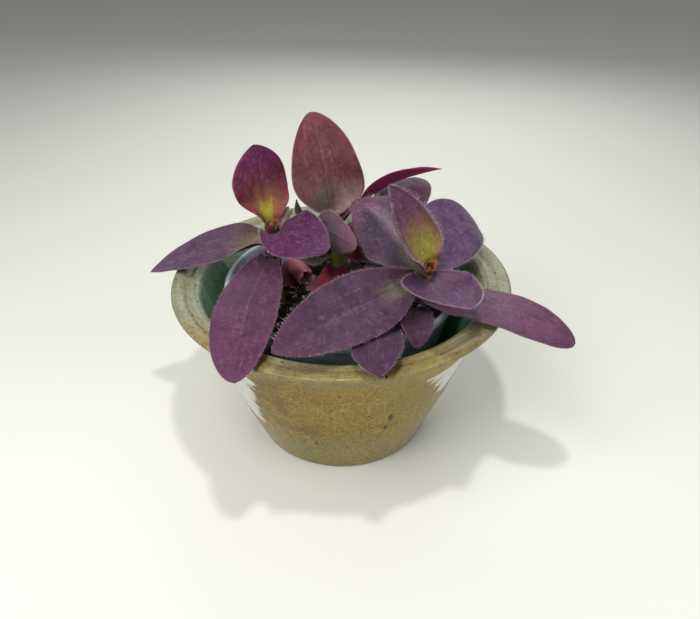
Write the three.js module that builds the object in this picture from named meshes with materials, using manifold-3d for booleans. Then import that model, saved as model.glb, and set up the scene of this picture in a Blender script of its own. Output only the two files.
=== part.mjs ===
// A purple spiderwort in a thin plastic growing pot, standing inside a glazed stoneware pot.
// Millimetres, +Z up. The origin is the centre of the stoneware pot's base, and -Y is the front.

import * as THREE from 'three';
import { mergeVertices } from 'three/addons/utils/BufferGeometryUtils.js';
import Module from 'manifold-3d';

const wasm = await Module();
wasm.setup();

// ---- driving dimensions -------------------------------------------------------------------
const GAP = 0.35;                  // between neighbouring pieces
const COLLAR_GAP = 0.6;            // the same round a stem, whose collar has flat facets
const POT_RIM_RADIUS = 75;         // the stoneware rim is 150 across
const POT_HEIGHT = 79.3;
const POT_BASE_RADIUS = 41;
const POT_FLOOR = 5.5;             // height of the inside floor
const POT_SIDES = 48;

const LINER_RIM_RADIUS = 52.3;     // a growing pot of the 10.5 cm class
const LINER_TOP = 77.5;
const LINER_BASE_RADIUS = 34.5;
const LINER_WALL = 1.2;
const LINER_LIP = 1.6;             // how far the lip stands out from the wall
const LINER_LIP_HEIGHT = 4;
const LINER_SIDES = 40;
const DRAIN_HOLES = { count: 6, radius: 3.5, ring: 25, sides: 12 };

const SOIL_TOP = 60.5;             // mean height of the potting mix
const SOIL_RELIEF = 1.1;

const SOCKET_DEPTH = 12;           // how far a stem stands in the soil
const STEM_SIDES = 10;
const STEM_STEPS = 6;
const RAGGED = 0.7;                // how far the cut stem's torn end stands out and in

const LEAF_THICKNESS = 0.9;
const SHEATH = 2.5;                // height of the collar that wraps the stem
const MOUTH = 1.5;                 // the collar opens into the blade over this length
const BEND = 5;                    // the blade has left the stem's direction by here
const WRAP = 160;                  // degrees that the collar reaches round each way from its blade
const CLASP = 70;                  // the same at its mouth
const OPENING = 0.3;               // share of the length in which the blade unrolls
const ROLLED_BY = 0.5;             // share of the length in which it has turned about its midrib
const LEAF_STRIPS = 8;             // across
const LEAF_ROWS = [0.07, 0.15, 0.26, 0.4, 0.55, 0.7, 0.83, 0.94, 1];  // along, as shares of the length
const MIDRIB_SUBSTEPS = 6;         // steps from row to row, so that the midrib's curve is smooth
const TIP_HALF_WIDTH = 0.6;

// ---- colours ------------------------------------------------------------------------------
const COLOUR = {
  glaze: 0x8d8358,
  liner: 0xc3ccd2,
  soil: 0x231d1b,
  stem: 0x6b4a52,
  cut_stem: 0xb26a74,
  plum: 0x6a4461,
  violet: 0x5a3a66,
  mauve: 0x7a4f63,
  crimson: 0x7a2f45,
};

// ---- shoots: a quadratic curve from the soil to the tip, thinning upwards --------------------
const SHOOTS = {
  left: { root: [-29, 7, 58], through: [-32, 4, 84], tip: [-30, 0, 104], radius: [3, 1.6] },
  middle: { root: [2, 15, 60], through: [-2, 20, 80], tip: [-4, 24, 97], radius: [3, 1.8] },
  right: { root: [27, -8, 60], through: [30, -13, 80], tip: [35, -28, 98.5], radius: [3.2, 1.6] },
  back: { root: [20, 12, 60], through: [20, 16, 76], tip: [20, 19, 92], radius: [2.6, 1.6] },
  front: { root: [24, -26, 58], through: [22, -30, 66], tip: [21, -33, 74], radius: [2.4, 1.6] },
};
// the old stem, cut off short above the soil
const CUT_STEM = { root: [-26, 24, 58], through: [-27, 24, 77], tip: [-16.5, 7, 73], radius: [4.5, 4.2] };

// ---- leaves -------------------------------------------------------------------------------
// at: share of the shoot's length where the leaf is attached.   heading: compass angle from +X.
// rise: angle above the horizontal at the base and at the tip.  turn: change of heading to the tip.
// widest: share of the length with the full width.              point: how slender the tip is.
// cup: the margin's angle above flat.   crease: the same at the midrib.   roll: turn about the midrib.
// neck: half the width where a broad blade opens out of its collar; the others have a narrow one.
const LEAVES = [
  { name: 'leaf_left_upright', shoot: 'left', at: 1, heading: 120, rise: [75, 75], turn: 25,
    length: 33, width: 30, widest: 0.55, point: 0.75, cup: -10, crease: 0, roll: 20, neck: 4.5,
    colour: 'mauve' },
  { name: 'leaf_left_spoon', shoot: 'left', at: 0.86, heading: -55, rise: [35, -15], turn: 20,
    length: 37, width: 24, widest: 0.4, point: 0.7, cup: 15, crease: 0, roll: 40, neck: 6.5,
    colour: 'violet' },
  { name: 'leaf_left_long', shoot: 'left', at: 0.72, heading: 170, rise: [-15, -25], turn: 5,
    length: 61, width: 25, widest: 0.3, point: 0.85, cup: 20, crease: 15, roll: -5, colour: 'plum' },
  { name: 'leaf_left_hanging', shoot: 'left', at: 0.57, heading: -102, rise: [5, -15], turn: 15,
    length: 80, width: 26, widest: 0.55, point: 0.55, cup: 10, crease: 0, roll: 5, colour: 'plum' },

  { name: 'leaf_middle_tall', shoot: 'middle', at: 1, heading: 120, rise: [85, 55], turn: 10,
    length: 47, width: 34, widest: 0.25, point: 0.65, cup: 25, crease: 5, roll: -25, neck: 8,
    colour: 'mauve' },
  { name: 'leaf_middle_back', shoot: 'middle', at: 0.82, heading: 30, rise: [45, 0], turn: -20,
    length: 58, width: 15, widest: 0.25, point: 1, cup: 25, crease: 10, roll: -50, colour: 'crimson' },
  { name: 'leaf_middle_front', shoot: 'middle', at: 0.64, heading: -110, rise: [50, 0], turn: 60,
    length: 55, width: 18, widest: 0.35, point: 0.5, cup: 5, crease: 0, roll: -80, neck: 6,
    colour: 'plum' },
  { name: 'leaf_middle_sliver', shoot: 'middle', at: 0.47, heading: 170, rise: [15, 95], turn: 0,
    length: 35, width: 16, widest: 0.4, point: 0.75, cup: 25, crease: 0, roll: 0, colour: 'crimson' },
  { name: 'leaf_middle_crimson', shoot: 'middle', at: 0.3, heading: -105, rise: [0, 20], turn: -10,
    length: 37, width: 12, widest: 0.5, point: 0.75, cup: -5, crease: 0, roll: -10, colour: 'crimson' },

  { name: 'leaf_right_folded', shoot: 'right', at: 1, heading: 150, rise: [55, 70], turn: 35,
    length: 38, width: 25, widest: 0.25, point: 0.75, cup: 50, crease: 0, roll: -5, neck: 7,
    colour: 'mauve' },
  { name: 'leaf_right_spoon', shoot: 'right', at: 0.862, heading: -75, rise: [-10, 35], turn: 5,
    length: 43, width: 33, widest: 0.3, point: 0.75, cup: 40, crease: 0, roll: 0, colour: 'violet' },
  { name: 'leaf_right_broad', shoot: 'right', at: 0.74, heading: 220, rise: [0, 0], turn: 5,
    length: 76, width: 28, widest: 0.45, point: 0.75, cup: 15, crease: 5, roll: 0, colour: 'violet' },
  { name: 'leaf_right_channel', shoot: 'right', at: 0.613, heading: 120, rise: [60, -15], turn: 10,
    length: 54, width: 34, widest: 0.3, point: 0.9, cup: 5, crease: 0, roll: -10, colour: 'violet' },
  { name: 'leaf_right_round', shoot: 'right', at: 0.48, heading: 60, rise: [60, -45], turn: -15,
    length: 62, width: 31, widest: 0.5, point: 0.7, cup: 10, crease: 0, roll: 25, colour: 'violet' },
  { name: 'leaf_right_long', shoot: 'right', at: 0.345, heading: -33, rise: [30, -30], turn: 15,
    length: 73, width: 24, widest: 0.65, point: 0.5, cup: -5, crease: 0, roll: -5, colour: 'plum' },
  { name: 'leaf_front_small', shoot: 'right', at: 0.14, heading: -92, rise: [68, -37], turn: 10,
    length: 44, width: 19, widest: 0.6, point: 0.7, cup: 35, crease: 0, roll: -15, colour: 'plum' },

  { name: 'leaf_back_dark', shoot: 'back', at: 1, heading: 60, rise: [55, -15], turn: 10,
    length: 38, width: 29, widest: 0.45, point: 0.8, cup: -10, crease: 0, roll: -5, colour: 'violet' },
  { name: 'leaf_back_red', shoot: 'back', at: 0.7, heading: -125, rise: [50, -10], turn: -35,
    length: 29, width: 18, widest: 0.65, point: 0.5, cup: -5, crease: 0, roll: -80, colour: 'crimson' },
  { name: 'leaf_back_blue', shoot: 'back', at: 0.35, heading: -130, rise: [5, 60], turn: 10,
    length: 31, width: 11, widest: 0.45, point: 0.8, cup: 10, crease: 0, roll: 0, colour: 'violet' },

  { name: 'leaf_front_low', shoot: 'front', at: 1, heading: -113, rise: [35, -10], turn: 30,
    length: 48, width: 19, widest: 0.65, point: 0.9, cup: 5, crease: 0, roll: 15, colour: 'violet' },
];

// ---- small helpers --------------------------------------------------------------------------
const { degToRad, lerp, clamp } = THREE.MathUtils;
const ease = (x) => THREE.MathUtils.smoothstep(x, 0, 1);
const point = (xyz) => new THREE.Vector3(...xyz);
const scaled = (vector, factor) => vector.clone().multiplyScalar(factor);

function piece(name, geometry, colour, roughness) {
  const material = new THREE.MeshStandardMaterial({ color: COLOUR[colour], roughness, metalness: 0 });
  const mesh = new THREE.Mesh(geometry, material);
  mesh.name = name;
  return mesh;
}

// A solid through a list of rings, capped flat at both ends.
function closedLoft(rings) {
  const sides = rings[0].length;
  const positions = rings.flat().flatMap((p) => [p.x, p.y, p.z]);
  const index = [];
  for (let row = 0; row + 1 < rings.length; row += 1) {
    for (let side = 0; side < sides; side += 1) {
      const next = (side + 1) % sides;
      const [a, b] = [row * sides + side, row * sides + next];
      index.push(a, b, b + sides, a, b + sides, a + sides);
    }
  }
  const top = (rings.length - 1) * sides;
  for (let side = 1; side + 1 < sides; side += 1) {
    index.push(0, side + 1, side);
    index.push(top, top + side, top + side + 1);
  }
  return indexed(positions, index);
}

function indexed(positions, index) {
  const geometry = new THREE.BufferGeometry();
  geometry.setAttribute('position', new THREE.Float32BufferAttribute(positions, 3));
  geometry.setIndex(index);
  geometry.computeVertexNormals();
  return geometry;
}

function revolve(profile, sides) {
  const points = profile.map(([radius, height]) => new THREE.Vector2(radius, height));
  return new THREE.LatheGeometry(points, sides).rotateX(Math.PI / 2);
}

function solidOf(geometry) {
  const bare = geometry.clone();
  bare.deleteAttribute('normal');
  bare.deleteAttribute('uv');
  const merged = mergeVertices(bare, 1e-4);
  const corners = merged.getIndex().array;
  const whole = [];
  for (let i = 0; i < corners.length; i += 3) {
    const [a, b, c] = corners.slice(i, i + 3);
    if (a !== b && b !== c && c !== a) whole.push(a, b, c);
  }
  const mesh = new wasm.Mesh({
    numProp: 3,
    vertProperties: new Float32Array(merged.getAttribute('position').array),
    triVerts: new Uint32Array(whole),
  });
  mesh.merge();
  return new wasm.Manifold(mesh);
}

function geometryOf(solid) {
  const mesh = solid.getMesh();
  return indexed(Array.from(mesh.vertProperties), Array.from(mesh.triVerts));
}

// ---- pots -----------------------------------------------------------------------------------
function stonewarePot() {
  const rim = POT_RIM_RADIUS;
  const top = POT_HEIGHT;
  const outside = [
    [0, 0],
    [POT_BASE_RADIUS - 1, 0],
    [POT_BASE_RADIUS + 0.2, 0.8],
    [POT_BASE_RADIUS + 0.9, 3],
    [43.6, 8],
    [47.6, 18],
    [52.9, 32],
    [58.2, 48],
    [62.6, 62],
    [65.8, 70],
  ];
  const flange = [
    [rim - 6.4, top - 5.2],
    [rim - 2, top - 3.4],
    [rim - 0.3, top - 2.3],
    [rim, top - 1.4],
    [rim - 0.6, top - 0.4],
    [rim - 2.2, top],
    [rim - 5.5, top - 0.6],
    [rim - 7.4, top - 1.5],
    [rim - 8.6, top - 1.1],
    [rim - 11, top - 1.5],
    [rim - 12.6, top - 2.5],
  ];
  const inside = [
    [61.4, 73],
    [58.2, 63],
    [53.6, 48],
    [48.3, 32],
    [43, 18],
    [39.4, 9.5],
    [38, POT_FLOOR + 1.1],
    [36, POT_FLOOR],
    [0, POT_FLOOR],
  ];
  const profile = [...outside, ...flange, ...inside];
  return piece('ceramic_pot', revolve(profile, POT_SIDES), 'glaze', 0.35);
}

const linerFloor = POT_FLOOR + GAP;
const linerInnerFloor = linerFloor + LINER_WALL;
const linerWallTop = LINER_TOP - LINER_LIP_HEIGHT;
// the liner's inside radius at a height
const linerInside = (height) => lerp(
  LINER_BASE_RADIUS - LINER_WALL,
  LINER_RIM_RADIUS - LINER_LIP - LINER_WALL,
  (height - linerFloor) / (linerWallTop - linerFloor),
);

function growingPot() {
  const rim = LINER_RIM_RADIUS;
  const profile = [
    [0, linerFloor],
    [LINER_BASE_RADIUS, linerFloor],
    [rim - LINER_LIP, linerWallTop],
    [rim - 0.2, linerWallTop + 0.3],
    [rim, LINER_TOP - 0.4],
    [rim - 0.5, LINER_TOP],
    [rim - 1.4, LINER_TOP - 0.2],
    [linerInside(linerWallTop), linerWallTop],
    [linerInside(linerInnerFloor), linerInnerFloor],
    [0, linerInnerFloor],
  ];
  let solid = solidOf(revolve(profile, LINER_SIDES));
  for (let hole = 0; hole < DRAIN_HOLES.count; hole += 1) {
    const angle = (2 * Math.PI * hole) / DRAIN_HOLES.count;
    const { radius, ring, sides } = DRAIN_HOLES;
    const drill = new THREE.CylinderGeometry(radius, radius, 4 * LINER_WALL, sides);
    drill.rotateX(Math.PI / 2);
    drill.translate(
      ring * Math.cos(angle),
      ring * Math.sin(angle),
      (linerFloor + linerInnerFloor) / 2,
    );
    solid = solid.subtract(solidOf(drill));
  }
  return piece('nursery_pot', geometryOf(solid), 'liner', 0.5);
}

// ---- shoots -----------------------------------------------------------------------------------
function curveOf({ root, through, tip }) {
  return new THREE.QuadraticBezierCurve3(point(root), point(through), point(tip));
}

// Rings round a line of stations { centre, direction, radius }, carried along without twist.
function tube(list) {
  const across = new THREE.Vector3(1, 0, 0);
  const rings = list.map(({ centre, direction, radius }) => {
    across.projectOnPlane(direction).normalize();
    const over = new THREE.Vector3().crossVectors(direction, across);
    return Array.from({ length: STEM_SIDES }, (_, side) => {
      const angle = (2 * Math.PI * side) / STEM_SIDES;
      return centre.clone()
        .addScaledVector(across, radius * Math.cos(angle))
        .addScaledVector(over, radius * Math.sin(angle));
    });
  });
  return closedLoft(rings);
}

// Stations from below the soil to the tip. A socket has the same ones, a little wider and deeper.
function stations(shoot, extraRadius, depth) {
  const curve = curveOf(shoot);
  const [thick, thin] = shoot.radius;
  const rootDirection = curve.getTangentAt(0);
  const list = [{
    centre: curve.getPointAt(0).addScaledVector(rootDirection, -depth),
    direction: rootDirection,
    radius: thick + extraRadius,
  }];
  for (let step = 0; step <= STEM_STEPS; step += 1) {
    const share = step / STEM_STEPS;
    list.push({
      centre: curve.getPointAt(share),
      direction: curve.getTangentAt(share),
      radius: lerp(thick, thin, share) + extraRadius,
    });
  }
  return list;
}

function leafyStem(name, shoot) {
  const list = stations(shoot, 0, SOCKET_DEPTH);
  const { centre, direction, radius } = list.at(-1);
  for (const [ahead, share] of [[0.9, 0.8], [1.5, 0.4]]) {  // the rounded growing tip
    list.push({ centre: centre.clone().addScaledVector(direction, ahead), direction, radius: radius * share });
  }
  return piece(`stem_${name}`, tube(list), 'stem', 0.6);
}

// The cut end is ragged: the points of the last ring are pulled out and in along the stem.
function cutStem() {
  const list = stations(CUT_STEM, 0, SOCKET_DEPTH);
  const geometry = tube(list);
  const position = geometry.getAttribute('position');
  const { direction } = list.at(-1);
  const vertex = new THREE.Vector3();
  for (let side = 0; side < STEM_SIDES; side += 1) {
    const last = (list.length - 1) * STEM_SIDES + side;
    vertex.fromBufferAttribute(position, last);
    vertex.addScaledVector(direction, RAGGED * (Math.sin(2.4 * side) + 0.5 * Math.sin(5.1 * side)));
    position.setXYZ(last, ...vertex);
  }
  geometry.computeVertexNormals();
  return piece('cut_stem', geometry, 'cut_stem', 0.6);
}

// ---- soil -------------------------------------------------------------------------------------
// The lumpy surface: height above or below the mean.
const relief = (x, y) => SOIL_RELIEF
  * (Math.sin(0.21 * x + 0.4) * Math.cos(0.17 * y) + 0.5 * Math.sin(0.43 * x - 0.31 * y));

function pottingMix() {
  const bottom = linerInnerFloor + GAP;
  const edge = linerInside(SOIL_TOP) - GAP;
  const rings = [0.93, 0.75, 0.55, 0.35, 0.15].map((share) => [edge * share, SOIL_TOP]);
  const profile = [
    [0, bottom],
    [linerInside(bottom) - GAP, bottom],
    [edge - 0.4, SOIL_TOP - 1.6],
    ...rings,
    [0, SOIL_TOP],
  ];
  const geometry = revolve(profile, LINER_SIDES);
  const position = geometry.getAttribute('position');
  for (let i = 0; i < position.count; i += 1) {
    if (position.getZ(i) > SOIL_TOP - 0.5) {
      position.setZ(i, SOIL_TOP + relief(position.getX(i), position.getY(i)));
    }
  }
  let solid = solidOf(geometry);
  for (const shoot of [...Object.values(SHOOTS), CUT_STEM]) {
    const socket = stations(shoot, GAP, SOCKET_DEPTH + GAP);
    solid = solid.subtract(solidOf(tube(socket)));
  }
  return piece('soil', geometryOf(solid), 'soil', 0.95);
}

// ---- leaves -----------------------------------------------------------------------------------
// The direction of the midrib at a distance from the node, as it leaves the stem's own direction.
function midribDirection(leaf, stemDirection, distance) {
  const share = Math.max(distance, 0) / leaf.length;
  const rise = degToRad(lerp(leaf.rise[0], leaf.rise[1], share));
  const heading = degToRad(leaf.heading + leaf.turn * share);
  const free = new THREE.Vector3(
    Math.cos(heading) * Math.cos(rise),
    Math.sin(heading) * Math.cos(rise),
    Math.sin(rise),
  );
  return scaled(stemDirection, 1).lerp(free, ease(distance / BEND)).normalize();
}

// Half of the leaf's width, measured over its surface, at a distance from the node.
function halfWidthAt(leaf, distance, collarRadius) {
  const share = clamp(distance / leaf.length, 0, 1);
  const neck = leaf.neck ?? Math.min(1.5 * collarRadius, 0.42 * leaf.width);
  let half;
  if (share < leaf.widest) {
    const grown = clamp((distance - MOUTH) / (leaf.widest * leaf.length - MOUTH), 0, 1);
    half = lerp(neck, leaf.width / 2, Math.sin((Math.PI / 2) * grown));
  } else {
    const past = (share - leaf.widest) / (1 - leaf.widest);
    half = (leaf.width / 2) * Math.max(1 - past * past, 0) ** leaf.point;
  }
  const collar = collarRadius * degToRad(WRAP);
  return Math.max(lerp(collar, half, ease(distance / MOUTH)), TIP_HALF_WIDTH);
}

// The margin's angle above flat: wrapped round the stem, then opening out to the blade's own cup.
function marginAngleAt(leaf, distance) {
  const clasp = lerp(degToRad(WRAP), degToRad(CLASP), ease(distance / MOUTH));
  return lerp(clasp, degToRad(leaf.cup), ease((distance - MOUTH) / (OPENING * leaf.length)));
}

// Rows of { place, normal } on the blade's middle surface, from the collar's foot to the tip.
function leafSurface(leaf) {
  const shoot = SHOOTS[leaf.shoot];
  const curve = curveOf(shoot);
  const stemDirection = curve.getTangentAt(leaf.at);
  const collarRadius = lerp(...shoot.radius, leaf.at) + COLLAR_GAP + LEAF_THICKNESS / 2;
  const heading = degToRad(leaf.heading);
  const outward = new THREE.Vector3(Math.cos(heading), Math.sin(heading), 0)
    .projectOnPlane(stemDirection).normalize();
  const distances = [-SHEATH, 0, MOUTH / 2, MOUTH, ...LEAF_ROWS.map((row) => row * leaf.length)];

  const centre = curve.getPointAt(leaf.at)
    .addScaledVector(outward, collarRadius)
    .addScaledVector(stemDirection, -SHEATH);
  const side = new THREE.Vector3().crossVectors(stemDirection, outward);
  let before = -SHEATH;
  return distances.map((distance) => {
    const stride = (distance - before) / MIDRIB_SUBSTEPS;
    for (let k = 0; k < MIDRIB_SUBSTEPS; k += 1) {
      centre.addScaledVector(midribDirection(leaf, stemDirection, before + (k + 0.5) * stride), stride);
    }
    before = distance;
    const along = midribDirection(leaf, stemDirection, distance);
    side.projectOnPlane(along).normalize();
    const over = new THREE.Vector3().crossVectors(along, side);
    const turned = degToRad(leaf.roll) * ease((distance - MOUTH) / (ROLLED_BY * leaf.length));
    const across = scaled(side, Math.cos(turned)).addScaledVector(over, Math.sin(turned));
    const up = scaled(over, Math.cos(turned)).addScaledVector(side, -Math.sin(turned));
    const crease = degToRad(leaf.crease) * ease((distance - MOUTH) / (OPENING * leaf.length));
    const half = halfWidthAt(leaf, distance, collarRadius);
    const bend = (marginAngleAt(leaf, distance) - crease) / half;
    return Array.from({ length: LEAF_STRIPS + 1 }, (_, strip) => {
      const u = (2 * strip) / LEAF_STRIPS - 1;
      const arc = Math.abs(u) * half;
      const angle = crease + bend * arc;
      const flat = Math.abs(bend) < 1e-5;
      const sideways = flat ? arc * Math.cos(crease) : (Math.sin(angle) - Math.sin(crease)) / bend;
      const upwards = flat ? arc * Math.sin(crease) : (Math.cos(crease) - Math.cos(angle)) / bend;
      const place = centre.clone()
        .addScaledVector(across, Math.sign(u) * sideways)
        .addScaledVector(up, upwards);
      const lean = u === 0 ? 0 : angle * Math.sign(u);
      const normal = scaled(up, Math.cos(lean)).addScaledVector(across, -Math.sin(lean));
      return { place, normal };
    });
  });
}

// The blade as a solid: both faces are cut along the same diagonals, and a strip closes the edge.
function leafGeometry(leaf) {
  const rows = leafSurface(leaf);
  const columns = LEAF_STRIPS + 1;
  const count = rows.length * columns;
  const face = (side) => rows.flat().map(({ place, normal }) => (
    place.clone().addScaledVector(normal, (side * LEAF_THICKNESS) / 2)
  ));
  const positions = [...face(1), ...face(-1)].flatMap((p) => [p.x, p.y, p.z]);
  const index = [];
  const at = (row, column) => row * columns + column;
  const edge = (a, b) => index.push(a, a + count, b + count, a, b + count, b);
  for (let row = 0; row + 1 < rows.length; row += 1) {
    for (let column = 0; column < LEAF_STRIPS; column += 1) {
      const [a, b] = [at(row, column), at(row + 1, column)];
      const [c, d] = [b + 1, a + 1];
      index.push(a, b, c, a, c, d);
      index.push(a + count, c + count, b + count, a + count, d + count, c + count);
    }
    edge(at(row, 0), at(row + 1, 0));
    edge(at(row + 1, LEAF_STRIPS), at(row, LEAF_STRIPS));
  }
  for (let column = 0; column < LEAF_STRIPS; column += 1) {
    const last = rows.length - 1;
    edge(at(0, column + 1), at(0, column));
    edge(at(last, column), at(last, column + 1));
  }
  return indexed(positions, index);
}

// ---- the whole plant ----------------------------------------------------------------------------
const plant = new THREE.Group();
plant.add(stonewarePot(), growingPot(), pottingMix());
for (const [name, shoot] of Object.entries(SHOOTS)) plant.add(leafyStem(name, shoot));
plant.add(cutStem());
for (const leaf of LEAVES) plant.add(piece(leaf.name, leafGeometry(leaf), leaf.colour, 0.55));

export default plant;
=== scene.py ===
# %% [markdown]
# # A purple spiderwort in a stoneware pot
#
# The plant is a tradescantia with five short shoots. It grows in a thin plastic pot, which stands
# loose inside a thrown and glazed stoneware pot. This script gives every piece its finer shape and
# finish. Everything is in metres, so a length written in millimetres is multiplied by `MM`.

import math
import random
from functools import partialmethod

import bmesh
import bpy
import numpy as np
from mathutils import Matrix, Vector, noise


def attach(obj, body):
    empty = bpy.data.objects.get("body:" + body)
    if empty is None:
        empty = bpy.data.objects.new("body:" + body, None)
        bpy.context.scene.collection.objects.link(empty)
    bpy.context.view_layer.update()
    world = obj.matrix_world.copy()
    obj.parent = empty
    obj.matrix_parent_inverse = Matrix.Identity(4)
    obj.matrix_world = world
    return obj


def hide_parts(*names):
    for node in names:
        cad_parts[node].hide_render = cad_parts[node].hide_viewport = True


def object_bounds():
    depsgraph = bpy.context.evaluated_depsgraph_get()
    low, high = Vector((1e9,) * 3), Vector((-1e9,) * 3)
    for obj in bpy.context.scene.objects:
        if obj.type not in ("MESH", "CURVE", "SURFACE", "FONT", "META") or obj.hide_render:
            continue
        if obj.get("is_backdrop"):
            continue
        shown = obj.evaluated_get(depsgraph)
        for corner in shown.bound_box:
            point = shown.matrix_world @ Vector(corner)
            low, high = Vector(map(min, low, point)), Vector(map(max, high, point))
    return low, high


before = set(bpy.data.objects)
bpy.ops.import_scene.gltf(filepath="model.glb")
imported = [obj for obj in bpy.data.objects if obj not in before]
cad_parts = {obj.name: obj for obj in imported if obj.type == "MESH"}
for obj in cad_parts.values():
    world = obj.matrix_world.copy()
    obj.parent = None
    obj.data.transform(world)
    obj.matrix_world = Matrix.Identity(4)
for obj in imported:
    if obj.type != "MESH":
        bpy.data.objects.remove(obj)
cad_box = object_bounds()
MM = 0.001
print("nodes in the frame:", len(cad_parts))

# %% [markdown]
# ## Small helpers
#
# A colour is easiest to think of as the hex code of a paint chip, but a shader wants linear light.
# `paint` turns one into the other. `subdivide` rounds a piece and makes the result its mesh, so that
# the points of that mesh can be moved by a formula afterwards.


# %% Paint, pieces and rounding
def paint(code):
    """A hex colour such as "#8a7238" as linear red, green, blue and alpha."""
    channels = [int(code[i:i + 2], 16) / 255 for i in (1, 3, 5)]
    linear = [c / 12.92 if c <= 0.04045 else ((c + 0.055) / 1.055) ** 2.4 for c in channels]
    return (*linear, 1.0)


def smoothstep(x):
    x = min(max(x, 0.0), 1.0)
    return x * x * (3 - 2 * x)


def mix(a, b, share):
    return a + (b - a) * share


def square_to(direction, start):
    """Two directions across the given one. The first is as near to start as it can be."""
    side = (start - start.project(direction)).normalized()
    return side, direction.cross(side)


def as_mesh(name, bm):
    mesh = bpy.data.meshes.new(name)
    bm.to_mesh(mesh)
    bm.free()
    return mesh


def add_object(name, data):
    made = bpy.data.objects.new(name, data)
    bpy.context.scene.collection.objects.link(made)
    return made


def make_piece(name, bm, material, replaces=()):
    """Turns a bmesh into a shaded object that rides on the plant's only body."""
    mesh = as_mesh(name, bm)
    mesh.polygons.foreach_set("use_smooth", [True] * len(mesh.polygons))
    mesh.materials.append(material)
    piece = add_object(name, mesh)
    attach(piece, "root")
    if replaces:
        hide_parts(*replaces)
    print(f"{name}: {len(mesh.polygons)} faces")
    return piece


def subdivide(piece, levels):
    modifier = piece.modifiers.new("round", "SUBSURF")
    modifier.levels = levels
    modifier.render_levels = levels
    evaluated = piece.evaluated_get(bpy.context.evaluated_depsgraph_get())
    mesh = bpy.data.meshes.new_from_object(evaluated)
    coarse = piece.data
    piece.modifiers.clear()
    piece.data = mesh
    bpy.data.meshes.remove(coarse)
    return mesh


# %% [markdown]
# ## A workbench for shaders
#
# A finish is a small graph of nodes. `Finish` keeps the graph in one place and gives each kind of
# node a short verb, so that the recipe for a glaze or a leaf reads from top to bottom. A plain
# number or colour goes straight onto a socket, and a socket is joined by a link. `swayed` pushes a
# measure up and down by a pattern, which makes an edge between two colours ragged. `layered` and
# `covered` put one colour after another on top of the last.


# %% The Finish class
class Finish:
    def __init__(self, name):
        self.material = bpy.data.materials.new(name)
        self.material.use_nodes = True
        self.tree = self.material.node_tree
        self.surface = self.tree.nodes["Principled BSDF"]

    def feed(self, socket, value):
        value = paint(value) if isinstance(value, str) else value
        if isinstance(value, bpy.types.NodeSocket):
            self.tree.links.new(value, socket)
        else:
            socket.default_value = value

    def add(self, kind, sockets, **settings):
        node = self.tree.nodes.new("ShaderNode" + kind)
        for key, value in settings.items():
            setattr(node, key, value)
        for key, value in sockets.items():
            self.feed(node.inputs[key], value)
        return node

    def shade(self, **sockets):
        for key, value in sockets.items():
            label = key.replace("_", " ").title().replace("Ior", "IOR")
            self.feed(self.surface.inputs[label], value)

    def place(self):
        return self.add("TexCoord", {}).outputs["Object"]

    def attribute(self, name):
        return self.add("Attribute", {}, attribute_name=name).outputs["Fac"]

    def parts(self, vector):
        return self.add("SeparateXYZ", {"Vector": vector}).outputs

    def vector(self, x, y, z=0.0):
        return self.add("CombineXYZ", {"X": x, "Y": y, "Z": z}).outputs["Vector"]

    def turned(self, vector, angle, scale=(1, 1, 1)):
        sockets = {"Vector": vector, "Rotation": (0, 0, angle), "Scale": scale}
        return self.add("Mapping", sockets).outputs["Vector"]

    def math(self, operation, a, b=0.0):
        return self.add("Math", {0: a, 1: b}, operation=operation).outputs["Value"]

    times = partialmethod(math, "MULTIPLY")
    plus = partialmethod(math, "ADD")
    minus = partialmethod(math, "SUBTRACT")
    larger = partialmethod(math, "MAXIMUM")

    def swayed(self, value, pattern, amount, middle=0.5):
        """The value, pushed up and down where the pattern is over and under its middle."""
        return self.plus(value, self.times(self.minus(pattern, middle), amount))

    def noise(self, vector, scale, detail=3.0, roughness=0.5, distortion=0.0):
        sockets = {"Vector": vector, "Scale": scale, "Detail": detail,
                   "Roughness": roughness, "Distortion": distortion}
        return self.add("TexNoise", sockets).outputs["Fac"]

    def cells(self, vector, scale, feature="F1", output="Distance"):
        node = self.add("TexVoronoi", {"Vector": vector, "Scale": scale}, feature=feature)
        return node.outputs[output]

    def spots(self, vector, scale, size, rarity, channel=0):
        """Round spots in some cells. Each spot fades, and cells fall out, between two limits."""
        near = self.between(self.cells(vector, scale), *size, 1, 0)
        chance = self.parts(self.cells(vector, scale, output="Color"))[channel]
        return self.times(near, self.between(chance, *rarity))

    def between(self, value, low, high, start=0.0, end=1.0):
        """Rises smoothly from start to end while the value goes from low to high."""
        sockets = {"Value": value, "From Min": low, "From Max": high, "To Min": start, "To Max": end}
        return self.add("MapRange", sockets, interpolation_type="SMOOTHSTEP").outputs["Result"]

    def blend(self, share, a, b, how="MIX"):
        node = self.add("Mix", {}, data_type="RGBA", blend_type=how, clamp_factor=True)
        colours = [s for s in node.inputs if s.type == "RGBA"]
        self.feed(node.inputs[0], share)
        self.feed(colours[0], a)
        self.feed(colours[1], b)
        return next(s for s in node.outputs if s.type == "RGBA")

    def layered(self, colour, layers):
        """Blends colours over the first one, each by where its measure lies between two limits."""
        for over, measure, low, high, *shares in layers:
            colour = self.blend(self.between(measure, low, high, *shares), colour, over)
        return colour

    def covered(self, colour, covers):
        """Lays colours over the first one, each by its mask and its strength."""
        for over, mask, strength in covers:
            colour = self.blend(self.times(mask, strength), colour, over)
        return colour

    def toned(self, colour, tone):
        return self.blend(1.0, colour, self.vector(tone, tone, tone), "MULTIPLY")

    def bump(self, height, distance, strength=1.0):
        sockets = {"Height": height, "Distance": distance, "Strength": strength}
        return self.add("Bump", sockets).outputs["Normal"]


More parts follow.
